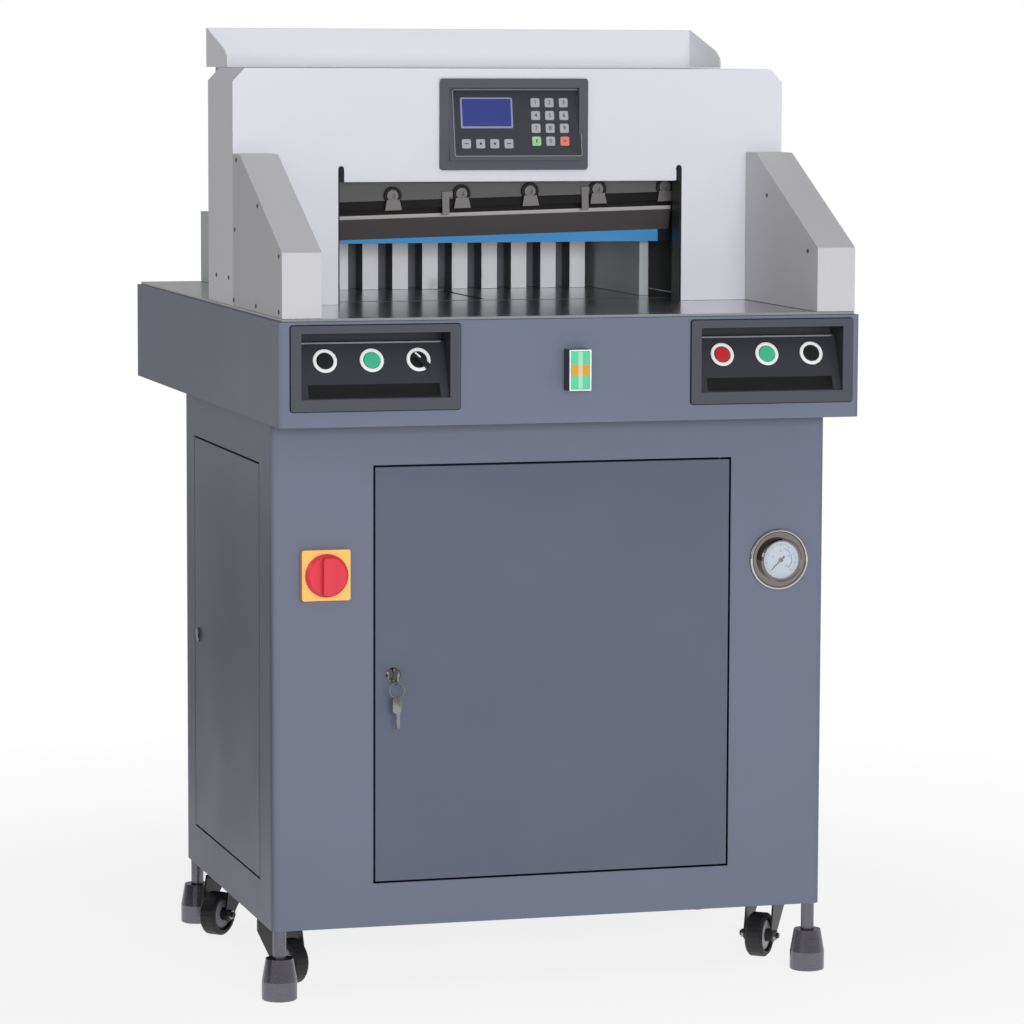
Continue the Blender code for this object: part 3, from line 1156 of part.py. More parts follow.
def throat_liner():
    """A black surround behind the head opening: a bar and two corners over two thin legs."""
    front = COVER_FRONT
    top = ON_TABLE + LINER_HEIGHT
    side = OPENING_SIDE - GAP
    liner = block("throat_liner", (-side, front, ON_TABLE), (side, front + LINER_DEPTH, top), BLACK_PLASTIC)
    inner = side - LINER_THICKNESS
    cut(liner, block("liner_throat", (-inner, front - OVERRUN, ON_TABLE - OVERRUN),
                     (inner, front + LINER_DEPTH + OVERRUN, top - LINER_BAR_HEIGHT)))
    cut(liner, block("liner_back", (-inner, front + LINER_BAR_DEPTH, ON_TABLE - OVERRUN),
                     (inner, front + LINER_DEPTH + OVERRUN, top + OVERRUN)))
    leg = side - LINER_LEG_THICKNESS
    cut(liner, block("liner_leg_gap", (-leg, front - OVERRUN, ON_TABLE - OVERRUN),
                     (leg, front + LINER_DEPTH + OVERRUN, OPENING_TOP)))
    return liner


def knife():
    """Beam and blade, hung from the pull rod's pin and raised at the right end."""
    frame = axis_frame("knife_tilt_axis", (-PULL_ROD_X, 0.0, KNIFE_PIVOT_Z), (0.0, -KNIFE_TILT, 0.0))
    edge = -KNIFE_PIVOT_RISE
    left, right = PULL_ROD_X - KNIFE_BEAM_SIDE, PULL_ROD_X + KNIFE_BEAM_SIDE
    low = edge + KNIFE_BEAM_LIFT
    beam = block("knife_beam", (left, BEAM_FRONT, low),
                 (right, BEAM_BACK, low + KNIFE_BEAM_HEIGHT), FRAME_PAINT, frame)
    cut(beam, cylinder("knife_pin_hole", KNIFE_PIN_RADIUS + GAP, KNIFE_BEAM_THICKNESS * 3,
                       (0.0, BEAM_FRONT, 0.0), "Y", parent=frame))
    profile = [(BLADE_BACK, edge), (BLADE_BACK, edge + BLADE_HEIGHT), (BLADE_FRONT, edge + BLADE_HEIGHT),
               (BLADE_FRONT, edge + BLADE_BEVEL)]
    prism("knife_blade", profile, BLADE_LENGTH, (PULL_ROD_X, 0.0, 0.0), "YZ", KNIFE_STEEL, frame)


def cylinder_profile(bore, length, rod, rod_at_top):
    """A cylinder with one closed end and a rod hole in the other; heights are from its top face."""
    outer = bore + CYLINDER_WALL
    end = CYLINDER_END
    closed_at = -length + end if rod_at_top else -end
    if rod_at_top:
        return [(0.0, closed_at), (bore, closed_at), (bore, -PISTON_TOP_CLEAR), (rod, -PISTON_TOP_CLEAR),
                (rod, 0.0), (outer, 0.0), (outer, -length), (0.0, -length)]
    return [(0.0, 0.0), (outer, 0.0), (outer, -length), (rod, -length), (rod, -length + end),
            (bore, -length + end), (bore, closed_at), (0.0, closed_at)]


def knife_drive():
    """The pull rod with its lug, pin and piston, and the cylinder under the bed."""
    place = (-PULL_ROD_X, KNIFE_ROD_Y, 0.0)
    beam_bottom = KNIFE_EDGE_Z + KNIFE_BEAM_LIFT
    rod_top = beam_bottom - KNIFE_ROD_TOP_CLEAR
    piston_top = UNDER_BED - PISTON_TOP_CLEAR - GAP
    piston_bottom = piston_top - PISTON_THICKNESS
    rod = turned("knife_rod", [(0.0, rod_top), (KNIFE_ROD_RADIUS, rod_top), (KNIFE_ROD_RADIUS, piston_top),
                               (KNIFE_PISTON_RADIUS - GAP, piston_top),
                               (KNIFE_PISTON_RADIUS - GAP, piston_bottom), (0.0, piston_bottom)],
                 place, "Z", DARK_STEEL)
    half = KNIFE_LUG_WIDTH / 2
    fuse(rod, block("knife_lug", (-PULL_ROD_X - half, LUG_FRONT, rod_top - KNIFE_LUG_OVER),
                    (-PULL_ROD_X + half, LUG_BACK, KNIFE_PIVOT_Z + KNIFE_LUG_OVER)))
    pin_length = BEAM_BACK - LUG_FRONT - KNIFE_LUG_THICKNESS / 2
    fuse(rod, cylinder("knife_pin", KNIFE_PIN_RADIUS, pin_length,
                       (-PULL_ROD_X, BEAM_BACK - pin_length / 2, KNIFE_PIVOT_Z), "Y"))
    profile = cylinder_profile(KNIFE_PISTON_RADIUS, KNIFE_CYLINDER_LENGTH, KNIFE_ROD_RADIUS + GAP, True)
    turned("knife_cylinder", profile, (place[0], place[1], UNDER_BED), "Z", DARK_STEEL)


def clamp():
    half = CLAMP_SIDE
    beam = block("clamp_beam", (-half, CLAMP_FRONT, CLAMP_BOTTOM),
                 (half, CLAMP_BACK, CLAMP_BOTTOM + CLAMP_HEIGHT), FRAME_PAINT)
    strip = OPENING_SIDE - STRIP_END_INSET
    cut(beam, block("strip_rebate", (-strip - GAP, CLAMP_FRONT - OVERRUN, CLAMP_BOTTOM - OVERRUN),
                    (strip + GAP, CLAMP_FRONT + STRIP_THICKNESS + GAP, CLAMP_BOTTOM + STRIP_HEIGHT + GAP)))
    wide = POST_WIDTH / 2 + POST_CLEAR
    notch_front = POST_FRONT - GAUGE_FORWARD - POST_CLEAR
    cut(beam, block("post_notch", (SLOT_X - wide, notch_front, CLAMP_BOTTOM - OVERRUN),
                    (SLOT_X + wide, CLAMP_BACK + OVERRUN, CLAMP_BOTTOM + POST_HEIGHT + POST_CLEAR)))
    block("clamp_strip", (-strip, CLAMP_FRONT, CLAMP_BOTTOM),
          (strip, CLAMP_FRONT + STRIP_THICKNESS, CLAMP_BOTTOM + STRIP_HEIGHT), CLAMP_BLUE)


def clamp_drive():
    """The yoke with its two pull rods and piston, and the cylinder under the bed."""
    half, wide = YOKE_SIDE, YOKE_WIDTH / 2
    yoke = block("clamp_yoke", (-half, CLAMP_ROD_Y - wide, YOKE_TOP - YOKE_THICKNESS),
                 (half, CLAMP_ROD_Y + wide, YOKE_TOP), FRAME_PAINT)
    rod_bottom = YOKE_TOP - YOKE_THICKNESS / 2
    rod_top = CLAMP_BOTTOM - GAP
    for side, x in (("left", -PULL_ROD_X), ("right", PULL_ROD_X)):
        fuse(yoke, cylinder(f"{side}_clamp_rod", CLAMP_ROD_RADIUS, rod_top - rod_bottom,
                            (x, CLAMP_ROD_Y, (rod_top + rod_bottom) / 2), "Z"))
    piston_top = UNDER_BED - CYLINDER_END - PISTON_TOP_CLEAR
    piston_bottom = piston_top - PISTON_THICKNESS
    radius = CLAMP_PISTON_RADIUS - GAP
    fuse(yoke, turned("clamp_piston", [(0.0, piston_top), (radius, piston_top), (radius, piston_bottom),
                                       (CLAMP_PISTON_ROD_RADIUS, piston_bottom),
                                       (CLAMP_PISTON_ROD_RADIUS, rod_bottom), (0.0, rod_bottom)],
                      (0.0, CLAMP_ROD_Y, 0.0)))
    profile = cylinder_profile(CLAMP_PISTON_RADIUS, CLAMP_CYLINDER_LENGTH, CLAMP_PISTON_ROD_RADIUS + GAP,
                               False)
    turned("clamp_cylinder", profile, (0.0, CLAMP_ROD_Y, UNDER_BED), "Z", DARK_STEEL)


def cutting_stick():
    low, high = stick_bounds()
    block("cutting_stick", low, high, STICK_PLASTIC)


def back_gauge():
    """A comb of ribs on a body, with a tongue through the slot, a nut below and a small post."""
    top = ON_TABLE + COMB_HEIGHT
    gauge = block("back_gauge", (-COMB_SIDE, COMB_BODY_FRONT, ON_TABLE), (COMB_SIDE, COMB_BACK, top),
                  GAUGE_ALUMINIUM)
    for number in range(RIB_COUNT):
        x = (number - (RIB_COUNT - 1) / 2) * RIB_PITCH
        fuse(gauge, block(f"gauge_rib_{number + 1}", (x - RIB_WIDTH / 2, COMB_FRONT, ON_TABLE),
                          (x + RIB_WIDTH / 2, COMB_BODY_FRONT + COMB_BODY_DEPTH / 2, top)))
    half = POST_WIDTH / 2
    tongue_bottom = TABLE_TOP - TONGUE_HEIGHT
    tongue = block("gauge_tongue", (SLOT_X - half, POST_FRONT, tongue_bottom),
                   (SLOT_X + half, COMB_BACK - RIB_DEPTH / 4, TABLE_TOP + COMB_HEIGHT / 2))
    cut(tongue, block("tongue_step", (SLOT_X - NUT_WIDTH, POST_FRONT + POST_THICKNESS, TABLE_TOP - GAP),
                      (SLOT_X + NUT_WIDTH, COMB_BODY_FRONT - RIB_DEPTH / 2, TABLE_TOP + COMB_HEIGHT)))
    cut(tongue, block("post_top", (SLOT_X - NUT_WIDTH, POST_FRONT - OVERRUN, TABLE_TOP + POST_HEIGHT),
                      (SLOT_X + NUT_WIDTH, POST_FRONT + POST_THICKNESS + OVERRUN, TABLE_TOP + COMB_HEIGHT)))
    fuse(gauge, tongue)
    nut_rear = COMB_BACK - RIB_DEPTH / 2
    nut = block("gauge_nut", (SLOT_X - NUT_WIDTH / 2, nut_rear - NUT_LENGTH, SCREW_Z - NUT_BELOW),
                (SLOT_X + NUT_WIDTH / 2, nut_rear, TABLE_BOTTOM - GAP))
    fuse(gauge, nut)
    cut(gauge, cylinder("nut_bore", SCREW_RADIUS + GAP, NUT_LENGTH * 2,
                        (SLOT_X, nut_rear - NUT_LENGTH / 2, SCREW_Z), "Y"))
    return gauge


def gauge_screw():
    front, rear = SCREW_FRONT + GAP, SCREW_REAR - GAP
    journal = SCREW_JOURNAL_LENGTH
    last = DECK_REAR - front - GAP
    shoulder = front - rear
    turned("gauge_screw", [(0.0, journal), (SCREW_JOURNAL_RADIUS, journal), (SCREW_JOURNAL_RADIUS, 0.0),
                           (SCREW_RADIUS, 0.0), (SCREW_RADIUS, shoulder), (SCREW_JOURNAL_RADIUS, shoulder),
                           (SCREW_JOURNAL_RADIUS, -last), (0.0, -last)],
           (SLOT_X, front, SCREW_Z), "Y", DARK_STEEL)


def hydraulic_unit():
    half = TANK_WIDTH / 2
    bottom = BASE_TOP + GAP
    top = bottom + TANK_HEIGHT
    front = CABINET_FRONT + TANK_FRONT
    rear = front + TANK_DEPTH
    tank = block("hydraulic_tank", (-half, front, bottom), (half, rear, top), FRAME_PAINT)
    wall = TANK_WALL
    cut(tank, block("tank_inside", (-half + wall, front + wall, bottom + wall),
                    (half - wall, rear - wall, top - wall)))
    filler = (-half + TANK_FILLER_INSET, front + TANK_FILLER_INSET, top)
    cut(tank, cylinder("tank_filler", TANK_FILLER_RADIUS, wall * 4, filler, "Z"))
    foot = top + GAP
    motor_top = foot + MOTOR_HEIGHT
    cap = MOTOR_CAP_HEIGHT
    turned("pump_motor", [(0.0, motor_top), (MOTOR_SHAFT_END_RADIUS, motor_top),
                          (MOTOR_RADIUS, motor_top - cap), (MOTOR_RADIUS, foot), (0.0, foot)],
           (half / 2, (front + rear) / 2, 0.0), "Z", GREY_PAINT)


def build():
    shell = cabinet_shell()
    cabinet_base()
    front_door_group()
    side_door_group(shell)
    main_switch()
    pressure_gauge()
    for end, side in CASTER_HEADINGS:
        levelling_foot(end, side)
        caster(end, side)
    table_apron()
    work_table()
    bed_frame()
    head_frame()
    cutting_stick()
    for side in ("left", "right"):
        control_panel(side)
        hand_guard(side)
    push_button("left_black_button", "left", -1, BLACK_PLASTIC)
    push_button("left_green_button", "left", 0, GREEN_PLASTIC)
    selector_knob("left_selector_knob", "left", 1)
    push_button("right_red_button", "right", -1, RED_PLASTIC)
    push_button("right_green_button", "right", 0, GREEN_PLASTIC)
    push_button("right_black_button", "right", 1, BLACK_PLASTIC)
    rocker_switch()
    head_front_panel()
    head_cover()
    top_tray()
    rear_housing()
    rear_table_cover()
    console_housing()
    throat_liner()
    knife()
    knife_drive()
    clamp()
    clamp_drive()
    back_gauge()
    gauge_screw()
    hydraulic_unit()


build()
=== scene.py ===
# %% [markdown]
# # A hydraulic paper cutter
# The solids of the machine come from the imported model, in metres, with the front towards
# -Y. This lesson gives them their finishes, rounds their edges and adds the small parts
# that the solids leave out: screws, button rings, keys, the dial and the console.

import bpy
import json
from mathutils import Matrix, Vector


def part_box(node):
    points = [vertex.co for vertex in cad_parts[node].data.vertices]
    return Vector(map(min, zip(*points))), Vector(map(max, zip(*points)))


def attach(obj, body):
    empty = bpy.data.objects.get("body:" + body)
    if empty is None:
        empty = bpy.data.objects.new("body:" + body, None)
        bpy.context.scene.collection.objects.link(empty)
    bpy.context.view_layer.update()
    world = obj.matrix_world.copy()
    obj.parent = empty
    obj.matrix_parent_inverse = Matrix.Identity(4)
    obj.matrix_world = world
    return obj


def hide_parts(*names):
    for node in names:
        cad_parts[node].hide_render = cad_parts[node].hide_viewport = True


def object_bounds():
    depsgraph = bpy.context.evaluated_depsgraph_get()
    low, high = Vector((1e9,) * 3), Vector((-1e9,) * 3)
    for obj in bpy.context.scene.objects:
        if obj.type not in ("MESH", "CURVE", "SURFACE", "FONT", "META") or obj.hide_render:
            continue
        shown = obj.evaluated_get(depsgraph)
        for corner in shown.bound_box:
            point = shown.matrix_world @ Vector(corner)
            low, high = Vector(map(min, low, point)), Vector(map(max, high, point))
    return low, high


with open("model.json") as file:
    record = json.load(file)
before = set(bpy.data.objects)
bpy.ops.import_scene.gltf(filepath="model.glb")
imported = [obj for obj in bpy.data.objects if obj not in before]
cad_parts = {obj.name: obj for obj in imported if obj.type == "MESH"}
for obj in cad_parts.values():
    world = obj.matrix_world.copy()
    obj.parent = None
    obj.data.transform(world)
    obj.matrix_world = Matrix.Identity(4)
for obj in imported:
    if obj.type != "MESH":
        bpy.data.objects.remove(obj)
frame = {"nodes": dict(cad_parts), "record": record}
cad_low, cad_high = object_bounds()
print("nodes", len(frame["nodes"]), "from", cad_low, "to", cad_high)

# %% [markdown]
# Blender measures in metres, and small lengths are written here in millimetres. The record
# says which body each solid belongs to and which material slot it fills.

# %% Modules, units and the record
import json
from math import cos, radians, sin

import bmesh
import bpy
from mathutils import Matrix, Vector

MM = 0.001
LEFT, RIGHT = Vector((-1.0, 0.0, 0.0)), Vector((1.0, 0.0, 0.0))
FRONT, REAR = Vector((0.0, -1.0, 0.0)), Vector((0.0, 1.0, 0.0))
DOWN, UP = Vector((0.0, 0.0, -1.0)), Vector((0.0, 0.0, 1.0))
ROOT = "machine"
JOINTS = {joint["name"]: joint for joint in frame["record"]["behaviour"]["joints"]}
BODY_OF = {node: body for body, nodes in frame["record"]["behaviour"]["bodies"].items() for node in nodes}


def mm(*sizes):
    """Millimetres as metres."""
    return [size * MM for size in sizes]


def pin(joint):
    return Vector(JOINTS[joint]["pos_m"])


# %% [markdown]
# A photograph's colours are sRGB, but a shader works in linear light. One function turns
# a hex value into the linear colour that renders back to the same value.

# %% Colours
def linear(hex_code):
    channels = [int(hex_code[start:start + 2], 16) / 255 for start in (0, 2, 4)]
    return (*[c / 12.92 if c <= 0.04045 else ((c + 0.055) / 1.055) ** 2.4 for c in channels], 1.0)


print("mid grey", linear("808080")[0])

# %% [markdown]
# The first two helpers serve shader and geometry trees. They give each input of a node a
# value, or feed it from another node: from a named output, or from the first one if the
# node itself is given. The helpers after them build what the finishes share.

# %% Nodes
MIX_FACTOR, MIX_FIRST, MIX_SECOND, MIX_RESULT = 0, 6, 7, 2


def feed(tree, node, inputs):
    for name, value in inputs.items():
        if isinstance(value, bpy.types.Node):
            value = value.outputs[0]
        if isinstance(value, bpy.types.NodeSocket):
            tree.links.new(value, node.inputs[name])
        else:
            node.inputs[name].default_value = value


def add(tree, kind, inputs=None, **settings):
    node = tree.nodes.new(kind)
    for name, value in settings.items():
        setattr(node, name, value)
    feed(tree, node, inputs or {})
    return node


def blank(name, colour, roughness, metallic=0.0):
    """A material with its shader, and the object coordinates that its patterns read."""
    material = bpy.data.materials.new(name)
    material.use_nodes = True
    tree = material.node_tree
    shader = tree.nodes["Principled BSDF"]
    feed(tree, shader, {"Base Color": linear(colour), "Roughness": roughness, "Metallic": metallic})
    return material, tree, shader, add(tree, "ShaderNodeTexCoord").outputs["Object"]


def noise(tree, place, size, detail=2.0):
    return add(tree, "ShaderNodeTexNoise", {"Vector": place, "Scale": 1 / size, "Detail": detail})


def reckon(tree, operation, first, second=0.0):
    return add(tree, "ShaderNodeMath", {0: first, 1: second}, operation=operation)


def mixed(tree, share, first, second):
    """The output of a mix of two colours."""
    return add(tree, "ShaderNodeMix", {MIX_FACTOR: share, MIX_FIRST: first, MIX_SECOND: second},
               data_type="RGBA").outputs[MIX_RESULT]


def ranged(tree, value, low, high):
    return add(tree, "ShaderNodeMapRange", {"Value": value, "To Min": low, "To Max": high})


def worn(tree, shader, wear, roughness, spread, height, strength, relief):
    """The gloss follows one pattern, between two shares of the roughness, and the relief another."""
    gloss = ranged(tree, wear, roughness * spread[0], roughness * spread[1])
    bump = add(tree, "ShaderNodeBump", {"Height": height, "Strength": strength, "Distance": relief})
    feed(tree, shader, {"Roughness": gloss, "Normal": bump})

# %% [markdown]
# Paint and moulded plastic look alike to a shader: the colour drifts a little, the gloss
# varies with handling, and the surface has a fine even grain. A real grain is 0.5 to 2 mm,
# too fine to show at this distance, so each is drawn a few times coarser.

# %% Plain finishes
def plain(name, colour, shade, grain, roughness, relief, patch=180, metallic=0.0):
    """Grain, relief and patch are in millimetres."""
    material, tree, shader, place = blank(name, colour, roughness, metallic)
    drift = noise(tree, place, patch * MM, 3.0)
    feed(tree, shader, {"Base Color": mixed(tree, drift, linear(shade), linear(colour))})
    peel = noise(tree, place, grain * MM)
    worn(tree, shader, drift, roughness, spread=(0.85, 1.2), height=peel, strength=0.35, relief=relief * MM)
    return material


BLUE_GREY_COAT = plain("blue grey satin powder coat", "6e7488", "676d80", 5, 0.42, 0.10)
DOOR_COAT = plain("blue grey satin door coat", "5e6477", "575d6f", 5, 0.42, 0.10)
PALE_COAT = plain("pale grey satin powder coat", "dcdde5", "d4d5dd", 5, 0.42, 0.08)
TRAY_COAT = plain("white satin powder coat", "e8eaf0", "e2e4ea", 5, 0.42, 0.08)
GUARD_COAT = plain("light grey guard powder coat", "c3c3c8", "bababf", 5, 0.45, 0.08)
REAR_COAT = plain("greenish grey powder coat", "c2c9ca", "b8bfc0", 5, 0.45, 0.08)
MACHINE_ENAMEL = plain("dark grey machine enamel", "4a4b4e", "3e3f42", 6, 0.45, 0.15)
FORK_ENAMEL = plain("black baked enamel", "232326", "18181b", 4, 0.35, 0.08)
BLACK_ABS = plain("black moulded ABS", "1a1a1d", "131316", 3, 0.4, 0.05)
WHITE_ABS = plain("white moulded ABS", "f0f2f4", "e4e7ea", 3, 0.3, 0.03)
GREEN_ACRYLIC = plain("green moulded acrylic", "44bd95", "38ab84", 4, 0.25, 0.02)
RED_ACRYLIC = plain("red moulded acrylic", "cc2430", "b81e2a", 4, 0.25, 0.02)
BLUE_NYLON = plain("blue moulded nylon", "4a96d0", "418ac2", 4, 0.38, 0.04)
YELLOW_ABS = plain("yellow moulded ABS", "fac876", "f5bb5c", 4, 0.35, 0.03)
RED_ABS = plain("red moulded ABS", "e4404f", "d23341", 4, 0.32, 0.03)
POLYURETHANE = plain("black polyurethane tyre", "29292c", "1d1d20", 2, 0.5, 0.08)
HUB_NYLON = plain("grey nylon wheel disc", "c0c1c6", "b0b1b6", 3, 0.5, 0.05)
STICK_HDPE = plain("grey polyethylene stick", "aeaca6", "a09e98", 4, 0.5, 0.04)
NEEDLE_ENAMEL = plain("dark needle enamel", "20242f", "1a1e28", 2, 0.4, 0.02, patch=20)
CHROME = plain("bright chrome plate", "8c8786", "767171", 8, 0.09, 0.02, metallic=1.0)
CHROME_BEAD = plain("polished chrome bead", "d8d4d2", "c4bfbd", 8, 0.10, 0.02, metallic=1.0)
NICKEL = plain("nickel plate", "9fa09e", "8f908e", 6, 0.26, 0.03, metallic=1.0)
DIAL_PAINT = plain("white dial paint", "c6cedd", "bcc5d6", 3, 0.6, 0.01, patch=30)
VIOLET_INK = plain("violet dial ink", "8f86b8", "857caf", 2, 0.6, 0.01, patch=20)
RED_INK = plain("red dial ink", "b4525e", "a84753", 2, 0.6, 0.01, patch=20)
BLACK_INK = plain("black screen ink", "202226", "191b1f", 2, 0.5, 0.01, patch=20)
PANEL_FILM = plain("charcoal polyester film", "393c42", "33363c", 2, 0.45, 0.02, patch=60)
LABEL_FILM = plain("black polyester film", "0c0c0e", "09090b", 2, 0.4, 0.01, patch=60)
LINE_INK = plain("pale grey line ink", "8c8d93", "828389", 2, 0.5, 0.01, patch=40)
KEY_GREY = plain("grey embossed key film", "abadb4", "a1a3aa", 2, 0.45, 0.02, patch=20)
KEY_GREEN = plain("green embossed key film", "9fce9f", "94c494", 2, 0.45, 0.02, patch=20)
KEY_RED = plain("red embossed key film", "e8807a", "dd746e", 2, 0.45, 0.02, patch=20)
LCD_BORDER = plain("pale screen border ink", "8f96b4", "868da9", 2, 0.4, 0.01, patch=40)
print("plain finishes", len(bpy.data.materials))

# %% [markdown]
# Ground, brushed and turned metal has fine parallel lines: a noise that is squeezed across
# the lines and stretched along them gives the streaks in the gloss and the relief.

# %% Lined metals
LINE_STRETCH = 60


def lined_metal(name, colour, shade, line, along, roughness, relief):
    """Line and relief are in millimetres; the lines run along one axis."""
    material, tree, shader, place = blank(name, colour, roughness, 1.0)
    stretch = [1 / (line * MM)] * 3
    stretch["XYZ".index(along)] = 1 / (line * MM * LINE_STRETCH)
    squeeze = add(tree, "ShaderNodeMapping", {"Vector": place, "Scale": stretch})
    streak = noise(tree, squeeze, 1.0, 4.0)
    feed(tree, shader, {"Base Color": mixed(tree, streak, linear(shade), linear(colour))})
    worn(tree, shader, streak, roughness, spread=(0.7, 1.3), height=streak, strength=0.3, relief=relief * MM)
    return material


TABLE_STEEL = lined_metal("polished table steel", "d8d8dc", "c8c8cc", 1.5, "Y", 0.20, 0.01)
BLACKENED_STEEL = lined_metal("blackened turned steel", "8c8a92", "605e65", 1.2, "X", 0.30, 0.05)
BRIGHT_STEEL = lined_metal("ground bright steel", "b8b4b4", "a5a1a1", 1.0, "X", 0.38, 0.03)
SCREW_ZINC = lined_metal("dark zinc plated screws", "74767c", "5c5e64", 0.8, "X", 0.35, 0.02)
print("lined metals", len(bpy.data.materials))

# %% [markdown]
# Some mouldings and castings change finish at a plane. The pits of the control panels are
# darker than their rims, which is painted shade in the recess. On the blade, the ground
# bevel is a flat dark grey that stands in for its dark reflection, a pale line along its top
# is a painted glint, and the black above it, up under the beam, is painted shade. A plane is
# a direction and a distance, so a dot product and a comparison find the band. One more
# comparison draws the paler stripe down the middle of the rocker key.

# %% Bands of finish on one piece
SPECK, SPECK_RELIEF = mm(3, 0.05)


def banded(name, colours, levels, direction, roughness):
    """Colours in bands across a direction: each level is where the next colour begins."""
    material, tree, shader, place = blank(name, colours[0], roughness)
    along = add(tree, "ShaderNodeVectorMath", {0: place, 1: direction}, operation="DOT_PRODUCT")
    below = linear(colours[0])
    for level, hex_code in zip(levels, colours[1:]):
        beyond = reckon(tree, "GREATER_THAN", along.outputs["Value"], level)
        below = mixed(tree, beyond, below, linear(hex_code))
    feed(tree, shader, {"Base Color": below})
    speck = noise(tree, place, SPECK)
    worn(tree, shader, speck, roughness, spread=(0.8, 1.2), height=speck, strength=0.3, relief=SPECK_RELIEF)
    return material


DECK_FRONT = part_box("table_apron")[0].y
BLADE_TILT = radians(1.5)
KNIFE_PIVOT = pin("knife_levelling")
BLADE_UP = Vector((-sin(BLADE_TILT), 0.0, cos(BLADE_TILT)))


def blade_level(height):
    """A height on the level knife, as a distance along the tilted knife's own upward line."""
    return BLADE_UP.dot(KNIFE_PIVOT) + height - KNIFE_PIVOT.z


# Heights on the level knife: the blade's painted glint lies between the first two, and below the third the
# beam is painted black as shade.
GLINT_LOW, GLINT_HIGH, SHADE_BAND_TOP = 1.0307, 1.0358, 1.0558
ROCKER_MIDDLE, ROCKER_RIM = pin("rocker_tilt").z, cad_low.y + 0.6 * MM
ROCKER_BAND, ROCKER_STRIPE = mm(7.5, 3.0)
GAUGE_POST_BACK = 0.160
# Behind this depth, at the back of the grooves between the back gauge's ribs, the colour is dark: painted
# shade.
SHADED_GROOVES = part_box("back_gauge")[0].y + 68.0 * MM
# The sloped faces in the panels' pits are darker than the rims: painted shade in the recess.
PANEL_PLASTIC_PIT_SHADE = banded("grey panel ABS with painted shade in its pit", ["484a53", "323339"], [DECK_FRONT], REAR, 0.38)
CONSOLE_PLASTIC = banded("grey console ABS", ["50525a", "52545c"], [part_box("console_housing")[0].z], UP, 0.4)
# The blade's colours, bottom up: painted dark reflection on the bevel, painted glint, painted shade.
BLADE_GLINT_AND_SHADE = banded("tool steel with painted reflection, glint and shade", ["4a4648", "b4b0ae", "0f0e0f"],
                     [blade_level(GLINT_LOW), blade_level(GLINT_HIGH)], BLADE_UP, 0.5)
# The knife beam is painted black along its foot: painted shade that joins the blade's.
BEAM_ENAMEL_AND_SHADE = banded("knife beam enamel with painted shade at its foot", ["0f0e0f", "636262"], [blade_level(SHADE_BAND_TOP)], BLADE_UP, 0.5)
ROCKER_PLASTIC = banded("black ABS with a mint rim", ["d4ecdf", "1d1d20"], [ROCKER_RIM], REAR, 0.35)
ROCKER_KEY = banded("rocker key with an orange window", ["5cc79a", "cf9a45", "5cc79a"],
                    [ROCKER_MIDDLE - ROCKER_BAND, ROCKER_MIDDLE + ROCKER_BAND], UP, 0.3)
# The back gauge: a black post, pale ribs, and painted shade on the back of the grooves.
GAUGE_ALUMINIUM_GROOVE_SHADE = banded("milled aluminium with dark grooves, on a black post",
                         ["1a1a1c", "f2f4f8", "66686f"], [GAUGE_POST_BACK, SHADED_GROOVES], REAR, 0.42)

STRIPE_SHARE = 0.35
tree = ROCKER_KEY.node_tree
shader = tree.nodes["Principled BSDF"]
bands = shader.inputs["Base Color"].links[0].from_socket
spot = add(tree, "ShaderNodeSeparateXYZ", {"Vector": add(tree, "ShaderNodeTexCoord").outputs["Object"]})
offset = reckon(tree, "ABSOLUTE", spot.outputs["X"])
faint = reckon(tree, "MULTIPLY", reckon(tree, "LESS_THAN", offset, ROCKER_STRIPE), STRIPE_SHARE)
feed(tree, shader, {"Base Color": mixed(tree, faint, bands, linear("d8f4dc"))})
print("banded finishes", len(bpy.data.materials))

# %% [markdown]
# The gauge's window is thin clear plastic that keeps a soft glint, and the console's
# screen is blue liquid crystal behind film.

# %% Window and screen
GAUGE_WINDOW, tree, shader, place = blank("clear acrylic window", "eef2f6", 0.05)
smudge = noise(tree, place, 12 * MM)
feed(tree, shader, {"Alpha": 0.12, "Roughness": ranged(tree, smudge, 0.03, 0.12)})
LCD_BLUE = plain("blue liquid crystal", "35428a", "303c80", 2, 0.18, 0.01, patch=50)
print("materials", len(bpy.data.materials))

# %% [markdown]
# Each solid has one material slot. The table lists under each finish the names, or ends of
# names, of the solids that wear it. Where two ends fit, the longer one counts.

# %% Dress the solids
DRESSING = {
    BLUE_GREY_COAT: "cabinet_shell cabinet_base left_side_door table_apron pump_motor",
    DOOR_COAT: "front_door", TRAY_COAT: "top_tray", GUARD_COAT: "hand_guard",
    PALE_COAT: "head_front_panel head_cover", REAR_COAT: "rear_housing rear_table_cover",
    MACHINE_ENAMEL: "bed_frame head_frame hydraulic_tank clamp_yoke",
    BLACKENED_STEEL: "levelling_foot door_hinge cylinder left_side_door_lock knife_rod gauge_screw",
    TABLE_STEEL: "work_table", FORK_ENAMEL: "caster_fork clamp_beam", POLYURETHANE: "caster_wheel",
    BEAM_ENAMEL_AND_SHADE: "knife_beam", BLADE_GLINT_AND_SHADE: "knife_blade", BLUE_NYLON: "clamp_strip",
    GAUGE_ALUMINIUM_GROOVE_SHADE: "back_gauge", STICK_HDPE: "cutting_stick", PANEL_PLASTIC_PIT_SHADE: "control_panel",
    CONSOLE_PLASTIC: "console_housing", BLACK_ABS: "black_button selector_knob throat_liner",
    GREEN_ACRYLIC: "green_button", RED_ACRYLIC: "red_button", RED_ABS: "main_switch_knob",
    YELLOW_ABS: "main_switch_plate", CHROME: "door_lock pressure_gauge_case", NICKEL: "door_key",
    NEEDLE_ENAMEL: "pressure_gauge_needle", ROCKER_PLASTIC: "rocker_switch_body",
    ROCKER_KEY: "rocker_switch_key",
}
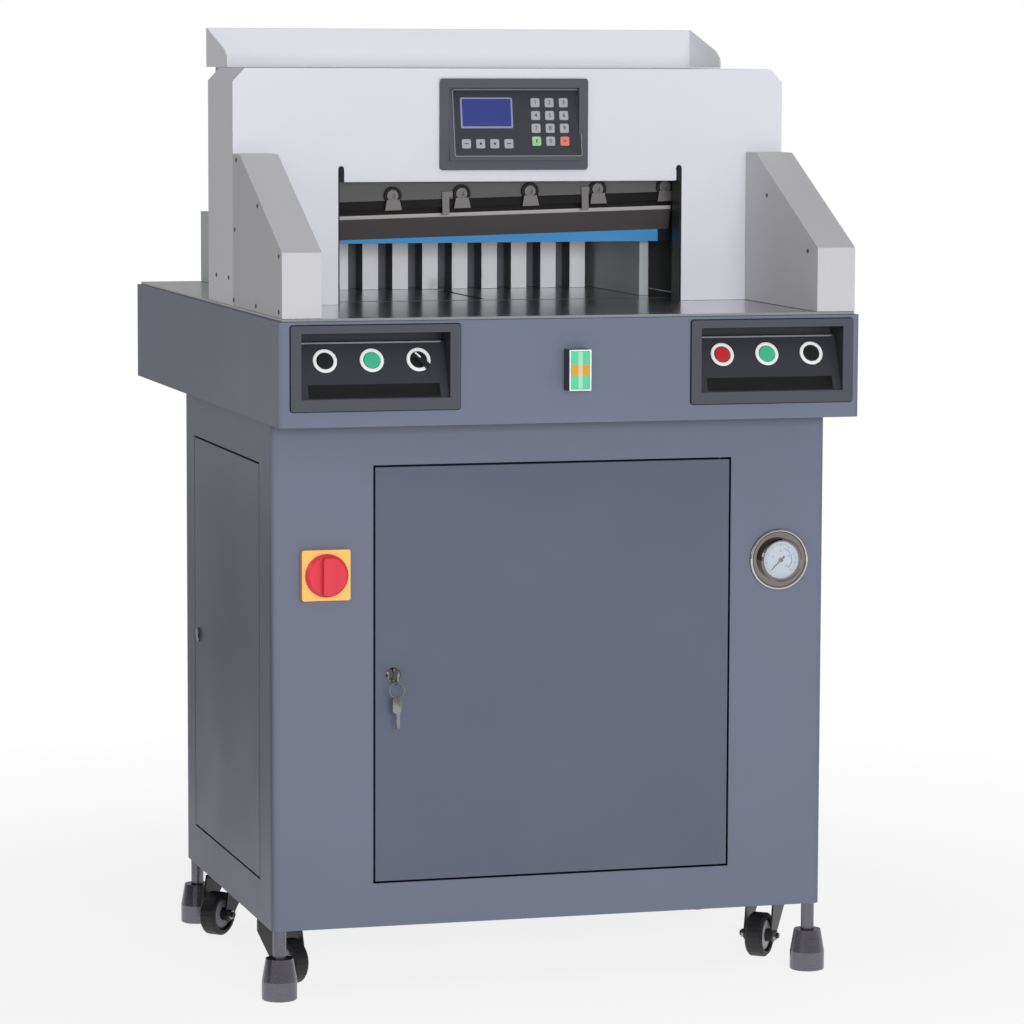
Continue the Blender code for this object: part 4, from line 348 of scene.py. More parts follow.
FINISH_OF_END = {end: finish for finish, ends in DRESSING.items() for end in ends.split()}
for name, piece in frame["nodes"].items():
    end = max((end for end in FINISH_OF_END if name.endswith(end)), key=len)
    piece.material_slots[0].material = FINISH_OF_END[end]
print("dressed", len(frame["nodes"]))

# %% [markdown]
# The solids have knife-sharp edges, but light catches on every real bend. A CAD mesh is
# loose triangles and stays as it is, so a copy is merged, its flat faces are joined, and a
# Bevel modifier eases its sharp edges. Each edge carries a weight, so that the bends of
# thick sheet can be rounder than a cut edge.

# %% Softened edges
EASE, WELD, BESIDE = mm(0.6, 0.005, 0.5)
SHARP, FLAT, UPRIGHT = radians(30.0), radians(1.0), 0.99


def placed(name, data):
    thing = bpy.data.objects.new(name, data)
    bpy.context.scene.collection.objects.link(thing)
    return thing


def meshed(solid, name):
    mesh = bpy.data.meshes.new(name)
    solid.to_mesh(mesh)
    solid.free()
    return mesh


def evaluated(holder):
    """The plain mesh that an object's modifiers or its text make."""
    bpy.context.view_layer.update()
    return bpy.data.meshes.new_from_object(holder.evaluated_get(bpy.context.evaluated_depsgraph_get()))


def soften(node, bend=0.0, is_bend=None):
    """A merged copy with eased edges that stands for the node; is_bend picks the round ones."""
    source = frame["nodes"][node]
    solid = bmesh.new()
    solid.from_mesh(source.data)
    bmesh.ops.remove_doubles(solid, verts=solid.verts, dist=WELD)
    bmesh.ops.dissolve_limit(solid, angle_limit=FLAT, verts=solid.verts, edges=solid.edges)
    weight = solid.edges.layers.float.new("bevel_weight_edge")
    widest = max(bend, EASE)
    for edge in solid.edges:
        if edge.calc_face_angle(0.0) > SHARP:
            middle = (edge.verts[0].co + edge.verts[1].co) / 2
            along = (edge.verts[1].co - edge.verts[0].co).normalized()
            chosen = is_bend is not None and is_bend(middle, along)
            edge[weight] = 1.0 if chosen else EASE / widest
    mesh = meshed(solid, node + "_eased")
    mesh.materials.append(source.material_slots[0].material)
    mesh.shade_smooth()
    holder = placed(node + "_eased", mesh)
    ease = holder.modifiers.new("ease", "BEVEL")
    ease.limit_method = "WEIGHT"
    ease.width = widest
    ease.segments = 3 if bend else 2
    flatten = holder.modifiers.new("flatten", "WEIGHTED_NORMAL")
    flatten.weight = 100
    flatten.keep_sharp = True
    eased = evaluated(holder)
    holder.modifiers.clear()
    holder.data = eased
    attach(holder, BODY_OF[node])
    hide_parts(node)


def at_corner(node):
    """Picks upright edges that stand on the outer corners of a node's box."""
    low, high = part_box(node)
    return lambda middle, along: (abs(along.z) > UPRIGHT
                                  and min(middle.x - low.x, high.x - middle.x) < BESIDE
                                  and min(middle.y - low.y, high.y - middle.y) < BESIDE)


def round_deck(middle, along):
    """Picks the apron's outer corners and its top rim."""
    low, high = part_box("table_apron")
    outer = min(middle.x - low.x, high.x - middle.x, middle.y - low.y, high.y - middle.y) < BESIDE
    return at_corner("table_apron")(middle, along) or (outer and high.z - middle.z < BESIDE)


SHEET_BEND, DECK_BEND = mm(2.5, 4.0)
soften("cabinet_shell", DECK_BEND, at_corner("cabinet_shell"))
soften("table_apron", DECK_BEND, round_deck)
for node in ("head_cover", "rear_housing", "top_tray"):
    soften(node, SHEET_BEND, at_corner(node))
for node in ("head_front_panel", "left_hand_guard", "right_hand_guard", "rear_table_cover",
             "console_housing", "left_control_panel", "right_control_panel", "front_door",
             "left_side_door", "main_switch_plate", "main_switch_knob", "back_gauge", "clamp_beam",
             "knife_beam", "hydraulic_tank", "pump_motor", "left_selector_knob"):
    soften(node)

# %% [markdown]
# The small parts that follow are new meshes. One function keeps each as a piece of the
# machine: it is shaded smooth up to a corner angle and rides on a body.

# %% Keeping a piece
def keep(name, mesh, finish, body=ROOT, smooth=40.0):
    mesh.materials.clear()
    mesh.materials.append(finish)
    mesh.shade_smooth()
    mesh.set_sharp_from_angle(angle=radians(smooth))
    piece = placed(name, mesh)
    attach(piece, body)
    return piece


def tilted(origin, tilt=0.0):
    """X to the right, Y up a face that leans back from upright by tilt, and Z out of it."""
    return Matrix.Translation(origin) @ Matrix.Rotation(radians(90.0) - tilt, 4, "X")

# %% [markdown]
# Plates, discs, rings and lenses are skins over rings of points. A loft joins each ring to
# the next and closes both ends, and points that coincide are merged, which closes the pole
# of a turned shape.

# %% Skins over rings
CORNER_STEPS = 4
CORNERS = ((1, 1, 0.0), (-1, 1, 90.0), (-1, -1, 180.0), (1, -1, 270.0))


def loft(rings, place=Matrix(), loop=False):
    solid = bmesh.new()
    loops = [[solid.verts.new(place @ Vector(point)) for point in ring] for ring in rings]
    pairs = list(zip(loops, loops[1:])) + ([(loops[-1], loops[0])] if loop else [])
    for lower, upper in pairs:
        for here in range(len(lower)):
            after = (here + 1) % len(lower)
            solid.faces.new((lower[here], lower[after], upper[after], upper[here]))
    if not loop:
        solid.faces.new(loops[0])
        solid.faces.new(loops[-1])
    bmesh.ops.remove_doubles(solid, verts=solid.verts, dist=WELD)
    bmesh.ops.recalc_face_normals(solid, faces=solid.faces)
    return meshed(solid, "loft")


def rounded(width, height, corner, inset=0.0, level=0.0):
    """A rounded rectangle at a level, drawn in by inset all round."""
    reach = max(corner - inset, 0.1 * MM)
    points = []
    for side_x, side_y, start in CORNERS:
        across = side_x * (width / 2 - inset - reach)
        up = side_y * (height / 2 - inset - reach)
        for step in range(CORNER_STEPS + 1):
            angle = radians(start + 90.0 * step / CORNER_STEPS)
            points.append((across + reach * cos(angle), up + reach * sin(angle), level))
    return points


def pad(width, height, depth, corner, edge, place):
    """A rounded plate whose front edge is rounded too."""
    steps = [(0.0, 0.0), (0.0, depth - edge), (edge * 0.3, depth - edge * 0.3), (edge, depth)]
    return loft([rounded(width, height, corner, inset, level) for inset, level in steps], place)


def frame_strip(width, height, corner, band, depth, place):
    """A thin raised line that runs round a rounded rectangle."""
    outer, inner = rounded(width, height, corner), rounded(width, height, corner, band)
    top_inner, top_outer = [[(x, y, depth) for x, y, _ in ring] for ring in (inner, outer)]
    return loft([outer, inner, top_inner, top_outer], place, loop=True)


def turned(profile, place, sides=48, loop=False):
    """A profile of radius and height, turned around the place's Z axis."""
    turns = [radians(360.0 * side / sides) for side in range(sides)]
    return loft([[(radius * cos(turn), radius * sin(turn), height) for turn in turns]
                 for radius, height in profile], place, loop=loop)


def joined(meshes, weld=0.0):
    whole = bmesh.new()
    for mesh in meshes:
        whole.from_mesh(mesh)
    if weld:
        bmesh.ops.remove_doubles(whole, verts=whole.verts, dist=weld)
    return meshed(whole, "joined")


def puck(radius, height):
    """The profile of a solid disc."""
    return [(0.0, 0.0), (radius, 0.0), (radius, height), (0.0, height)]


def oval(angles, radius, half, rise, level=0.0):
    """Points of a profile on an oval about a radius and a level; the angles are in degrees."""
    return [(radius + half * cos(turn), level + rise * sin(turn)) for turn in map(radians, angles)]


def drawn(*corners):
    """An outline or a profile drawn in millimetres."""
    return [mm(*corner) for corner in corners]


def slab(outline, depth, place):
    """A flat outline in X and Y, given a depth."""
    return loft([[(x, y, level) for x, y in outline] for level in (0.0, depth)], place)


print("test plate has", len(pad(*mm(10, 5, 1, 1, 0.3), Matrix()).polygons), "faces")

# %% [markdown]
# Numbers come from a text object. It becomes a mesh first, and then the mesh is moved to
# its place, so the finished piece's object stays at the origin.

# %% Raised numbers
FIGURE_SHARE = 0.72  # of a text's size, the height of a figure


def lettering(marks, thickness):
    """One mesh for many marks, each a text, its height and the place of its middle."""
    meshes = []
    for text, height, place in marks:
        curve = bpy.data.curves.new("mark", "FONT")
        curve.body = text
        curve.size = height / FIGURE_SHARE
        curve.align_x = curve.align_y = "CENTER"
        curve.resolution_u = 3
        curve.extrude = thickness / 2
        holder = placed("mark", curve)
        mesh = evaluated(holder)
        bpy.data.objects.remove(holder)
        mesh.transform(place)
        meshes.append(mesh)
    return joined(meshes, WELD / 5)

# %% [markdown]
# What repeats is grown by Geometry Nodes: one shape, set out on the points of a small mesh,
# each of which carries the way that its copy faces. Sizes are the group's named inputs.

# %% Setting out copies
def sized_group(name, sizes):
    """An empty group with places, named sizes and a finish as its inputs."""
    group = bpy.data.node_groups.new(name, "GeometryNodeTree")
    sockets = group.interface
    sockets.new_socket("Geometry", in_out="OUTPUT", socket_type="NodeSocketGeometry")
    for item, kind in (("Places", "Geometry"), *[(size, "Float") for size in sizes], ("Finish", "Material")):
        sockets.new_socket(item, in_out="INPUT", socket_type="NodeSocket" + kind)
    return group, add(group, "NodeGroupInput").outputs


def set_out(group, given, shape):
    """Finish a group: copies of shape on the places, made real and given their finish."""
    facing = add(group, "GeometryNodeInputNamedAttribute", {"Name": "facing"}, data_type="FLOAT_VECTOR")
    turn = add(group, "FunctionNodeAlignRotationToVector", {"Vector": facing}, axis="Z")
    copy = add(group, "GeometryNodeInstanceOnPoints",
               {"Points": given["Places"], "Instance": shape, "Rotation": turn})
    real = add(group, "GeometryNodeRealizeInstances", {"Geometry": copy})
    dressed = add(group, "GeometryNodeSetMaterial", {"Geometry": real, "Material": given["Finish"]})
    add(group, "NodeGroupOutput", {"Geometry": dressed})
    return group


def grown(name, group, spots, sizes, finish, body=ROOT, smooth=40.0):
    """Grow a group on its spots, each a place and a facing, and keep the result."""
    points = bpy.data.meshes.new(name + "_spots")
    points.from_pydata([tuple(place) for place, _ in spots], [], [])
    facing = points.attributes.new("facing", "FLOAT_VECTOR", "POINT")
    for value, (_, way) in zip(facing.data, spots):
        value.vector = way
    holder = placed(name + "_spots", points)
    grower = holder.modifiers.new(name, "NODES")
    grower.node_group = group
    wanted = {**sizes, "Finish": finish}
    for item in group.interface.items_tree:
        if item.in_out == "INPUT" and item.name in wanted:
            grower[item.identifier] = wanted[item.name]
    mesh = evaluated(holder)
    bpy.data.objects.remove(holder)
    return keep(name, mesh, finish, body, smooth)

# %% [markdown]
# A screw head is a shallow cone with a six-sided socket cut from it. The number of sides of
# the head is set when the group is built, so the same code makes hexagon nuts.

# %% Screws and nuts
def head_group(name, head_sides):
    group, given = sized_group(name, ["Head radius", "Head height", "Crown radius", "Socket radius",
                                      "Socket depth"])
    head = add(group, "GeometryNodeMeshCone",
               {"Vertices": head_sides, "Radius Top": given["Crown radius"],
                "Radius Bottom": given["Head radius"], "Depth": given["Head height"]})
    bore = add(group, "GeometryNodeMeshCylinder",
               {"Vertices": 6, "Radius": given["Socket radius"], "Depth": given["Socket depth"]})
    to_top = add(group, "ShaderNodeCombineXYZ", {"Z": given["Head height"]})
    lifted = add(group, "GeometryNodeTransform", {"Geometry": bore, "Translation": to_top})
    cut = add(group, "GeometryNodeMeshBoolean", {"Mesh 1": head, "Mesh 2": lifted},
              operation="DIFFERENCE", solver="EXACT")
    return set_out(group, given, cut)


SCREW = head_group("socket screw", 24)
NUT = head_group("hexagon nut", 6)


def head_sizes(radius, height, crown=0.85, socket=0.45, depth=0.8):
    """Radius and height are in metres; the rest are shares of them."""
    return {"Head radius": radius, "Head height": height, "Crown radius": radius * crown,
            "Socket radius": radius * socket, "Socket depth": 2 * depth * height}


HEAD_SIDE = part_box("head_cover")[1].x
GUARD_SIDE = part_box("right_hand_guard")[1].x
GUARD_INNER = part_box("right_hand_guard")[0].x
SHEET_SCREW = head_sizes(3.2 * MM, 1.1 * MM)
HEAD_SCREWS = [(-0.056, 0.956), (-0.136, 0.956)]
GUARD_SCREWS = [(-0.189, 1.117), (-0.319, 1.060), (-0.178, 1.023), (-0.4455, 0.999), (-0.170, 0.9275),
                (-0.308, 0.927), (-0.445, 0.927)]
GUARD_INNER_SCREWS = [(-0.255, 1.068), (-0.423, 0.9985)]
spots = []
for side, outward in ((-1, LEFT), (1, RIGHT)):
    spots += [((side * HEAD_SIDE, y, z), outward) for y, z in HEAD_SCREWS]
    spots += [((side * GUARD_SIDE, y, z), outward) for y, z in GUARD_SCREWS]
    spots += [((side * GUARD_INNER, y, z), -outward) for y, z in GUARD_INNER_SCREWS]
grown("sheet_screws", SCREW, spots, SHEET_SCREW, SCREW_ZINC)

housing_low, housing_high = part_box("rear_housing")
cover_low, cover_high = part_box("rear_table_cover")
SCREW_INSET = 14 * MM
spots = [((x, housing_high.y, z), REAR)
         for x in (housing_low.x + SCREW_INSET, 0.0, housing_high.x - SCREW_INSET)
         for z in (housing_low.z + SCREW_INSET, housing_high.z - SCREW_INSET)]
spots += [((x, cover_high.y, cover_high.z - SCREW_INSET), REAR)
          for x in (cover_low.x + SCREW_INSET, cover_high.x - SCREW_INSET)]
grown("rear_screws", SCREW, spots, SHEET_SCREW, SCREW_ZINC)

# %% [markdown]
# Each push button stands in a white bezel ring. The ring is a rounded bar swept round a
# circle, and the six rings are copies on the sloped faces of the two control panels.

# %% Button rings
RING_GROUP, given = sized_group("bezel ring", ["Ring radius", "Ring width", "Ring height", "Edge radius"])
path = add(RING_GROUP, "GeometryNodeCurvePrimitiveCircle",
           {"Resolution": 56, "Radius": given["Ring radius"]}, mode="RADIUS")
bar = add(RING_GROUP, "GeometryNodeCurvePrimitiveQuadrilateral",
          {"Width": given["Ring width"], "Height": given["Ring height"]}, mode="RECTANGLE")
soft_bar = add(RING_GROUP, "GeometryNodeFilletCurve",
               {"Curve": bar, "Count": 3, "Radius": given["Edge radius"], "Limit Radius": True}, mode="POLY")
ring = add(RING_GROUP, "GeometryNodeCurveToMesh", {"Curve": path, "Profile Curve": soft_bar})
set_out(RING_GROUP, given, ring)

PANEL_TILT = radians(23.0)
BUTTON_POINT = pin("selector_turn")
FACE_OUT = Vector((0.0, -cos(PANEL_TILT), sin(PANEL_TILT)))
FACE_UP = Vector((0.0, sin(PANEL_TILT), cos(PANEL_TILT)))
RING_OUTER, RING_INNER, RING_HEIGHT, RING_EDGE = mm(16.3, 11.4, 3.0, 1.3)


def middle_x(node):
    low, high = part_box(node)
    return (low.x + high.x) / 2


button_x = [BUTTON_POINT.x] + [middle_x(node) for node in frame["nodes"] if node.endswith("_button")]
spots = [(Vector((x, *BUTTON_POINT.yz)) + FACE_OUT * RING_HEIGHT / 2, FACE_OUT) for x in button_x]
rings = grown("button_rings", RING_GROUP, spots,
              {"Ring radius": (RING_OUTER + RING_INNER) / 2, "Ring width": RING_OUTER - RING_INNER,
               "Ring height": RING_HEIGHT, "Edge radius": RING_EDGE}, WHITE_ABS)
print("rings", len(rings.data.polygons), "faces")

# %% [markdown]
# Under the buttons runs a bare black label strip, and the top edge of each sloped face ends
# in a narrow bead. The turn switch has a white pointer along its handle, and it turns with
# the knob. A thin black strip of painted shade runs round each panel: it stands for the
# shaded seam where the panel is let into the apron.

# %% Control panel trim
FACE_FOOT = BUTTON_POINT - FACE_UP * 52.1 * MM
LABEL_UP, BEAD_UP = mm(10.5, 77.2)
SHADE_LINE, SHADE_LINE_RISE, PANEL_CORNER = mm(1.3, 0.5, 3.0)
for side in ("left", "right"):
    foot = Vector((middle_x(side + "_control_panel"), *FACE_FOOT.yz))
    label = pad(*mm(177, 18.5, 0.3, 0.8, 0.1), tilted(foot + FACE_UP * LABEL_UP, PANEL_TILT))
    keep(side + "_label_strip", label, LABEL_FILM)
    bead = pad(*mm(192, 2.2, 1.2, 1.0, 0.8), tilted(foot + FACE_UP * BEAD_UP, PANEL_TILT))
    keep(side + "_face_bead", bead, LINE_INK)

HANDLE_TURN = radians(45.0)
HANDLE_TOP = 9.0 * MM
pointer_place = (tilted(BUTTON_POINT + FACE_OUT * HANDLE_TOP, PANEL_TILT)
                 @ Matrix.Rotation(HANDLE_TURN, 4, "Z") @ Matrix.Translation((*mm(1.2, 4.6), 0.0)))
pointer = pad(*mm(2.0, 10.0, 0.4, 0.9, 0.15), pointer_place)
keep("selector_pointer", pointer, WHITE_ABS, "selector")

# A thin black strip round each panel is painted shade for the shaded seam where the panel is let into the
# apron.
for side in ("left", "right"):
    low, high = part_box(side + "_control_panel")
    place = tilted(Vector(((low.x + high.x) / 2, DECK_FRONT, (low.z + high.z) / 2)))
    shade_line = frame_strip(high.x - low.x + 2 * SHADE_LINE, high.z - low.z + 2 * SHADE_LINE, PANEL_CORNER + SHADE_LINE, SHADE_LINE,
                       SHADE_LINE_RISE, place)
    keep(side + "_panel_shade_line", shade_line, BLACK_ABS)
print("panel trim at", FACE_FOOT)

# %% [markdown]
# The console is one sheet of printed film over a sloped face: a charcoal ground with a pale
# line round it, a blue screen with a pale border, four function keys and a keypad.

# %% Console film
CONSOLE_TILT = radians(9.7)
CONSOLE_FOOT = Vector((0.0, -0.1747, 1.115))
FILM = 0.4 * MM


def on_console(across, up, lift=0.0):
    """A place on the console's face: millimetres across and up from its foot, metres out of it."""
    return tilted(CONSOLE_FOOT, CONSOLE_TILT) @ Matrix.Translation((across * MM, up * MM, lift))


FILM_MIDDLE, BORDER_MIDDLE, SCREEN_MIDDLE = (7.0, 52.3), (-36.8, 66.2), (-36.8, 66.4)
film = pad(*mm(184.5, 94.5), FILM, *mm(3, 0.1), on_console(*FILM_MIDDLE))
keep("console_film", film, PANEL_FILM)
line = frame_strip(*mm(183.5, 93.5, 3, 1.3, 0.12), on_console(*FILM_MIDDLE, FILM))
keep("console_line", line, LINE_INK)
border = pad(*mm(74.5, 42.8, 0.2, 2, 0.1), on_console(*BORDER_MIDDLE, FILM))
keep("screen_border", border, LCD_BORDER)
screen = pad(*mm(69.5, 38.0, 0.5, 1, 0.2), on_console(*SCREEN_MIDDLE, FILM))
keep("screen", screen, LCD_BLUE)
print("console film at", CONSOLE_FOOT)

# %% [markdown]
# A key is a small rounded plate. The group draws a rounded rectangle, fills it, raises it
# and draws the raised face in a little, and the copies face out of the console.

# %% Keys
KEY_GROUP, given = sized_group("embossed key", ["Key width", "Key height", "Key rise", "Corner", "Crown"])
outline = add(KEY_GROUP, "GeometryNodeCurvePrimitiveQuadrilateral",
              {"Width": given["Key width"], "Height": given["Key height"]}, mode="RECTANGLE")
soft = add(KEY_GROUP, "GeometryNodeFilletCurve", {"Curve": outline, "Count": 3, "Radius": given["Corner"]},
           mode="POLY")
base = add(KEY_GROUP, "GeometryNodeFillCurve", {"Curve": soft}, mode="NGONS")
up_by = add(KEY_GROUP, "ShaderNodeCombineXYZ", {"Z": given["Key rise"]})
raised = add(KEY_GROUP, "GeometryNodeExtrudeMesh", {"Mesh": base, "Offset": up_by, "Offset Scale": 1.0})
crown = add(KEY_GROUP, "GeometryNodeScaleElements",
            {"Geometry": raised, "Selection": raised.outputs["Top"], "Scale": given["Crown"]}, domain="FACE")
under = add(KEY_GROUP, "GeometryNodeFlipFaces", {"Mesh": base})
both = add(KEY_GROUP, "GeometryNodeJoinGeometry")
for part in (crown, under):
    KEY_GROUP.links.new(part.outputs[0], both.inputs[0])
set_out(KEY_GROUP, given, add(KEY_GROUP, "GeometryNodeMergeByDistance", {"Geometry": both, "Distance": WELD}))

KEY_WIDTH, KEY_RISE, KEY_CORNER = mm(13.0, 0.8, 2.2)
KEY_SIZES = {"Key width": KEY_WIDTH, "Key height": KEY_WIDTH, "Key rise": KEY_RISE, "Corner": KEY_CORNER,
             "Crown": 0.90}
KEY_COLUMNS = [33.3, 53.5, 73.9]
KEY_ROWS = [80.4, 62.5, 44.7, 26.8]
FUNCTION_COLUMNS = [-67.3, -47.1, -26.9, -6.7]
FUNCTION_ROW = 23.4
CONSOLE_OUT = Vector((0.0, -cos(CONSOLE_TILT), sin(CONSOLE_TILT)))
grey_keys = [(x, row) for row in KEY_ROWS[:3] for x in KEY_COLUMNS] + [(KEY_COLUMNS[1], KEY_ROWS[3])]
grey_keys += [(x, FUNCTION_ROW) for x in FUNCTION_COLUMNS]
for name, keys, finish in (("grey_keys", grey_keys, KEY_GREY),
                           ("green_key", [(KEY_COLUMNS[0], KEY_ROWS[3])], KEY_GREEN),
                           ("red_key", [(KEY_COLUMNS[2], KEY_ROWS[3])], KEY_RED)):
    spots = [(on_console(x, up, FILM).translation, CONSOLE_OUT) for x, up in keys]
    grown(name, KEY_GROUP, spots, KEY_SIZES, finish, smooth=20.0)
print("keys", len(grey_keys) + 2)

# %% [markdown]
# The keypad carries plain digits, and the two middle function keys an up and a down arrow,
# all printed in thin dark ink. An arrow is a turned shape with three sides.

# %% Key marks
INK, DIGIT, ARROW = mm(0.1, 6.0, 2.6)
KEY_FACE = FILM + KEY_RISE
DIGIT_PLACES = [(column, row) for row in KEY_ROWS[:3] for column in KEY_COLUMNS]
DIGIT_PLACES.append((KEY_COLUMNS[1], KEY_ROWS[3]))
digits = [(digit, DIGIT, on_console(*spot, KEY_FACE + INK / 2))
          for digit, spot in zip("1234567890", DIGIT_PLACES)]
arrows = [turned(puck(ARROW, INK), on_console(FUNCTION_COLUMNS[column], FUNCTION_ROW, KEY_FACE)
                 @ Matrix.Rotation(radians(angle), 4, "Z"), sides=3) for column, angle in ((1, 90), (2, -90))]
BARS = [(6.0, 1.2, FUNCTION_COLUMNS[0], FUNCTION_ROW), (6.0, 1.2, FUNCTION_COLUMNS[3], FUNCTION_ROW),
        (5.0, 1.2, KEY_COLUMNS[2], KEY_ROWS[3]), (1.6, 5.0, KEY_COLUMNS[0], KEY_ROWS[3])]
bars = [pad(*mm(width, height), INK, *mm(0.2, 0.05), on_console(x, up, KEY_FACE))
        for width, height, x, up in BARS]
keep("key_marks", joined([lettering(digits, INK)] + arrows + bars), BLACK_INK)
print("digits", len(digits))

# %% [markdown]
# The gauge's dial lies at the bottom of its case: a thin white disc with ticks over three
# quarters of a turn, plain numbers, and a violet and a red stretch. A tick is a small bar
# that points away from the hub. A rolled chrome bead runs round the flange of the case.

# %% Dial and ticks
DIAL_MIDDLE = pin("gauge_needle_turn")
DIAL_GAP, DIAL_SHEET, DIAL_RADIUS, TICK_OUTER, TICK_RISE = mm(0.3, 0.15, 25.6, 22.5, 0.06)
BAND_INNER, BAND_OUTER, BAND_RISE = mm(15.4, 16.6, 0.05)
SCALE_START, SCALE_SWEEP, SCALE_END = radians(225.0), radians(270.0), 40
BAND_STEPS, DIAL_SIDES = 24, 64
dial_face = Vector((DIAL_MIDDLE.x, DIAL_MIDDLE.y + DIAL_GAP, DIAL_MIDDLE.z))


def over_dial(lift):
    """A place over the sheet of the dial."""
    return dial_face + FRONT * (DIAL_SHEET + lift)


def on_dial(lift):
    return tilted(dial_face) @ Matrix.Translation((0.0, 0.0, lift))


def dial_way(share):
    """The way from the hub to a share of the scale, which runs clockwise."""
    angle = SCALE_START - SCALE_SWEEP * share
    return Vector((cos(angle), 0.0, sin(angle)))


def dial_band(start, end):
    """A flat stretch of ring between two shares of the scale."""
    shares = [start + (end - start) * step / BAND_STEPS for step in range(BAND_STEPS + 1)]
    section = [(BAND_INNER, 0.0), (BAND_OUTER, 0.0), (BAND_OUTER, BAND_RISE), (BAND_INNER, BAND_RISE)]
    rings = [[way * radius + FRONT * lift for radius, lift in section] for way in map(dial_way, shares)]
    return loft(rings, Matrix.Translation(over_dial(0.02 * MM)))


dial = turned(puck(DIAL_RADIUS, DIAL_SHEET), on_dial(0.02 * MM), DIAL_SIDES)
keep("dial", dial, DIAL_PAINT)

TICK_GROUP, given = sized_group("dial tick", ["Tick width", "Tick length", "Tick rise"])
box_size = add(TICK_GROUP, "ShaderNodeCombineXYZ",
               {"X": given["Tick width"], "Y": given["Tick rise"], "Z": given["Tick length"]})
set_out(TICK_GROUP, given, add(TICK_GROUP, "GeometryNodeMeshCube", {"Size": box_size}))
for name, is_long, size in (("long_ticks", True, (4.0, 0.6)), ("short_ticks", False, (2.2, 0.35))):
    length, width = mm(*size)
    ways = [dial_way(tick / SCALE_END) for tick in range(SCALE_END + 1) if (tick % 5 == 0) == is_long]
    spots = [(over_dial(0.04 * MM) + way * (TICK_OUTER - length / 2), way) for way in ways]
    grown(name, TICK_GROUP, spots, {"Tick width": width, "Tick length": length, "Tick rise": TICK_RISE},
          BLACK_INK)

keep("violet_band", dial_band(0.55, 0.80), VIOLET_INK)
keep("red_band", dial_band(0.80, 1.0), RED_INK)
FIGURE, FIGURE_RISE, FIGURE_RADIUS = mm(2.8, 0.08, 12.6)
numbers = [(str(value), FIGURE, tilted(over_dial(0.07 * MM) + dial_way(value / SCALE_END) * FIGURE_RADIUS))
           for value in range(0, SCALE_END + 1, 10)]
keep("dial_numbers", lettering(numbers, FIGURE_RISE), BLACK_INK)

WINDOW_LIFT, WINDOW_EDGE, WINDOW_CROWN = mm(4.4, 0.3, 0.8)
edge_level = WINDOW_LIFT + WINDOW_EDGE
window = [(0.0, WINDOW_LIFT), (DIAL_RADIUS, WINDOW_LIFT), (DIAL_RADIUS, edge_level),
          *oval((30, 55, 75), 0.0, DIAL_RADIUS, WINDOW_CROWN, edge_level), (0.0, edge_level + WINDOW_CROWN)]
keep("gauge_window", turned(window, on_dial(0.0), DIAL_SIDES), GAUGE_WINDOW)

FLANGE_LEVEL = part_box("pressure_gauge_case")[0].y + 12.0 * MM
bead = oval(range(0, 181, 30), *mm(39.6, 2.2, 1.9))
bead_place = tilted(Vector((DIAL_MIDDLE.x, FLANGE_LEVEL, DIAL_MIDDLE.z)))
keep("gauge_bead", turned(bead, bead_place, DIAL_SIDES, loop=True), CHROME_BEAD, smooth=60.0)
print("dial at", dial_face)

# %% [markdown]
# Five cap screws hold the blade to its beam, each over a pale clip, and two angled lugs
# hang between them. Round each screw head a raised black ring is painted shade: it stands
# for the shaded wall of the screw's counterbore. They are laid out on the level knife,
# tilted with it about its pin, and they move with it.

# %% Knife screws, clips and lugs
KNIFE_TURN = (Matrix.Translation(KNIFE_PIVOT) @ Matrix.Rotation(-BLADE_TILT, 4, "Y")
              @ Matrix.Translation(-KNIFE_PIVOT))
BEAM_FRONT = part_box("knife_beam")[0].y
CAP_SCREW_START, CAP_SCREW_PITCH, CAP_SCREW_LEVEL = -0.1600, 98.7 * MM, 1.0625
CLIP_DEPTH, LUG_DEPTH, CAP_RADIUS, CAP_HEIGHT = mm(6.0, 4.0, 8.6, 4.0)
LUG_PLACES = [(-0.0845, 1.0333), (0.1172, 1.0336)]
FRONT_TURN = (KNIFE_TURN.to_3x3() @ FRONT).normalized()


def on_beam(x, z):
    """A place on the front of the level knife beam, carried along by the knife's tilt."""
    return KNIFE_TURN @ tilted(Vector((x, BEAM_FRONT, z)))


screw_x = [CAP_SCREW_START + CAP_SCREW_PITCH * number for number in range(5)]
caps = [on_beam(x, CAP_SCREW_LEVEL) for x in screw_x]
cap_sizes = head_sizes(CAP_RADIUS, CAP_HEIGHT, crown=0.93, socket=0.42, depth=0.6)
spots = [(place.translation, FRONT_TURN) for place in caps]
grown("knife_screws", SCREW, spots, cap_sizes, BRIGHT_STEEL, "knife")
# A black ring round each screw head, painted shade for the counterbore's shaded wall.
shade_ring = drawn((9.2, 0), (12.6, 0), (12.6, 4.2), (11.8, 5), (9.2, 5))
shade_rings = joined([turned(shade_ring, place, loop=True) for place in caps])
keep("screw_shade_rings", shade_rings, FORK_ENAMEL, "knife")
clip = drawn((-12, -20), (12, -20), (9, -5.5), (-9, -5.5))
clips = joined([slab(clip, CLIP_DEPTH, place) for place in caps])
keep("blade_clips", clips, BRIGHT_STEEL, "knife")
lug = drawn((-4.9, 0), (4.9, 0), (4.9, 25.5), (10, 25.5), (10, 32.5), (-4.9, 32.5))
lugs = joined([slab(lug, LUG_DEPTH, on_beam(x, z)) for x, z in LUG_PLACES])
keep("blade_lugs", lugs, BRIGHT_STEEL, "knife")
print("knife screws at", [round(x, 3) for x in screw_x])

# %% [markdown]
# The opening of the head ends above in a narrow folded flange between two notches. It is a
# thin plate on the panel, a little proud of it.

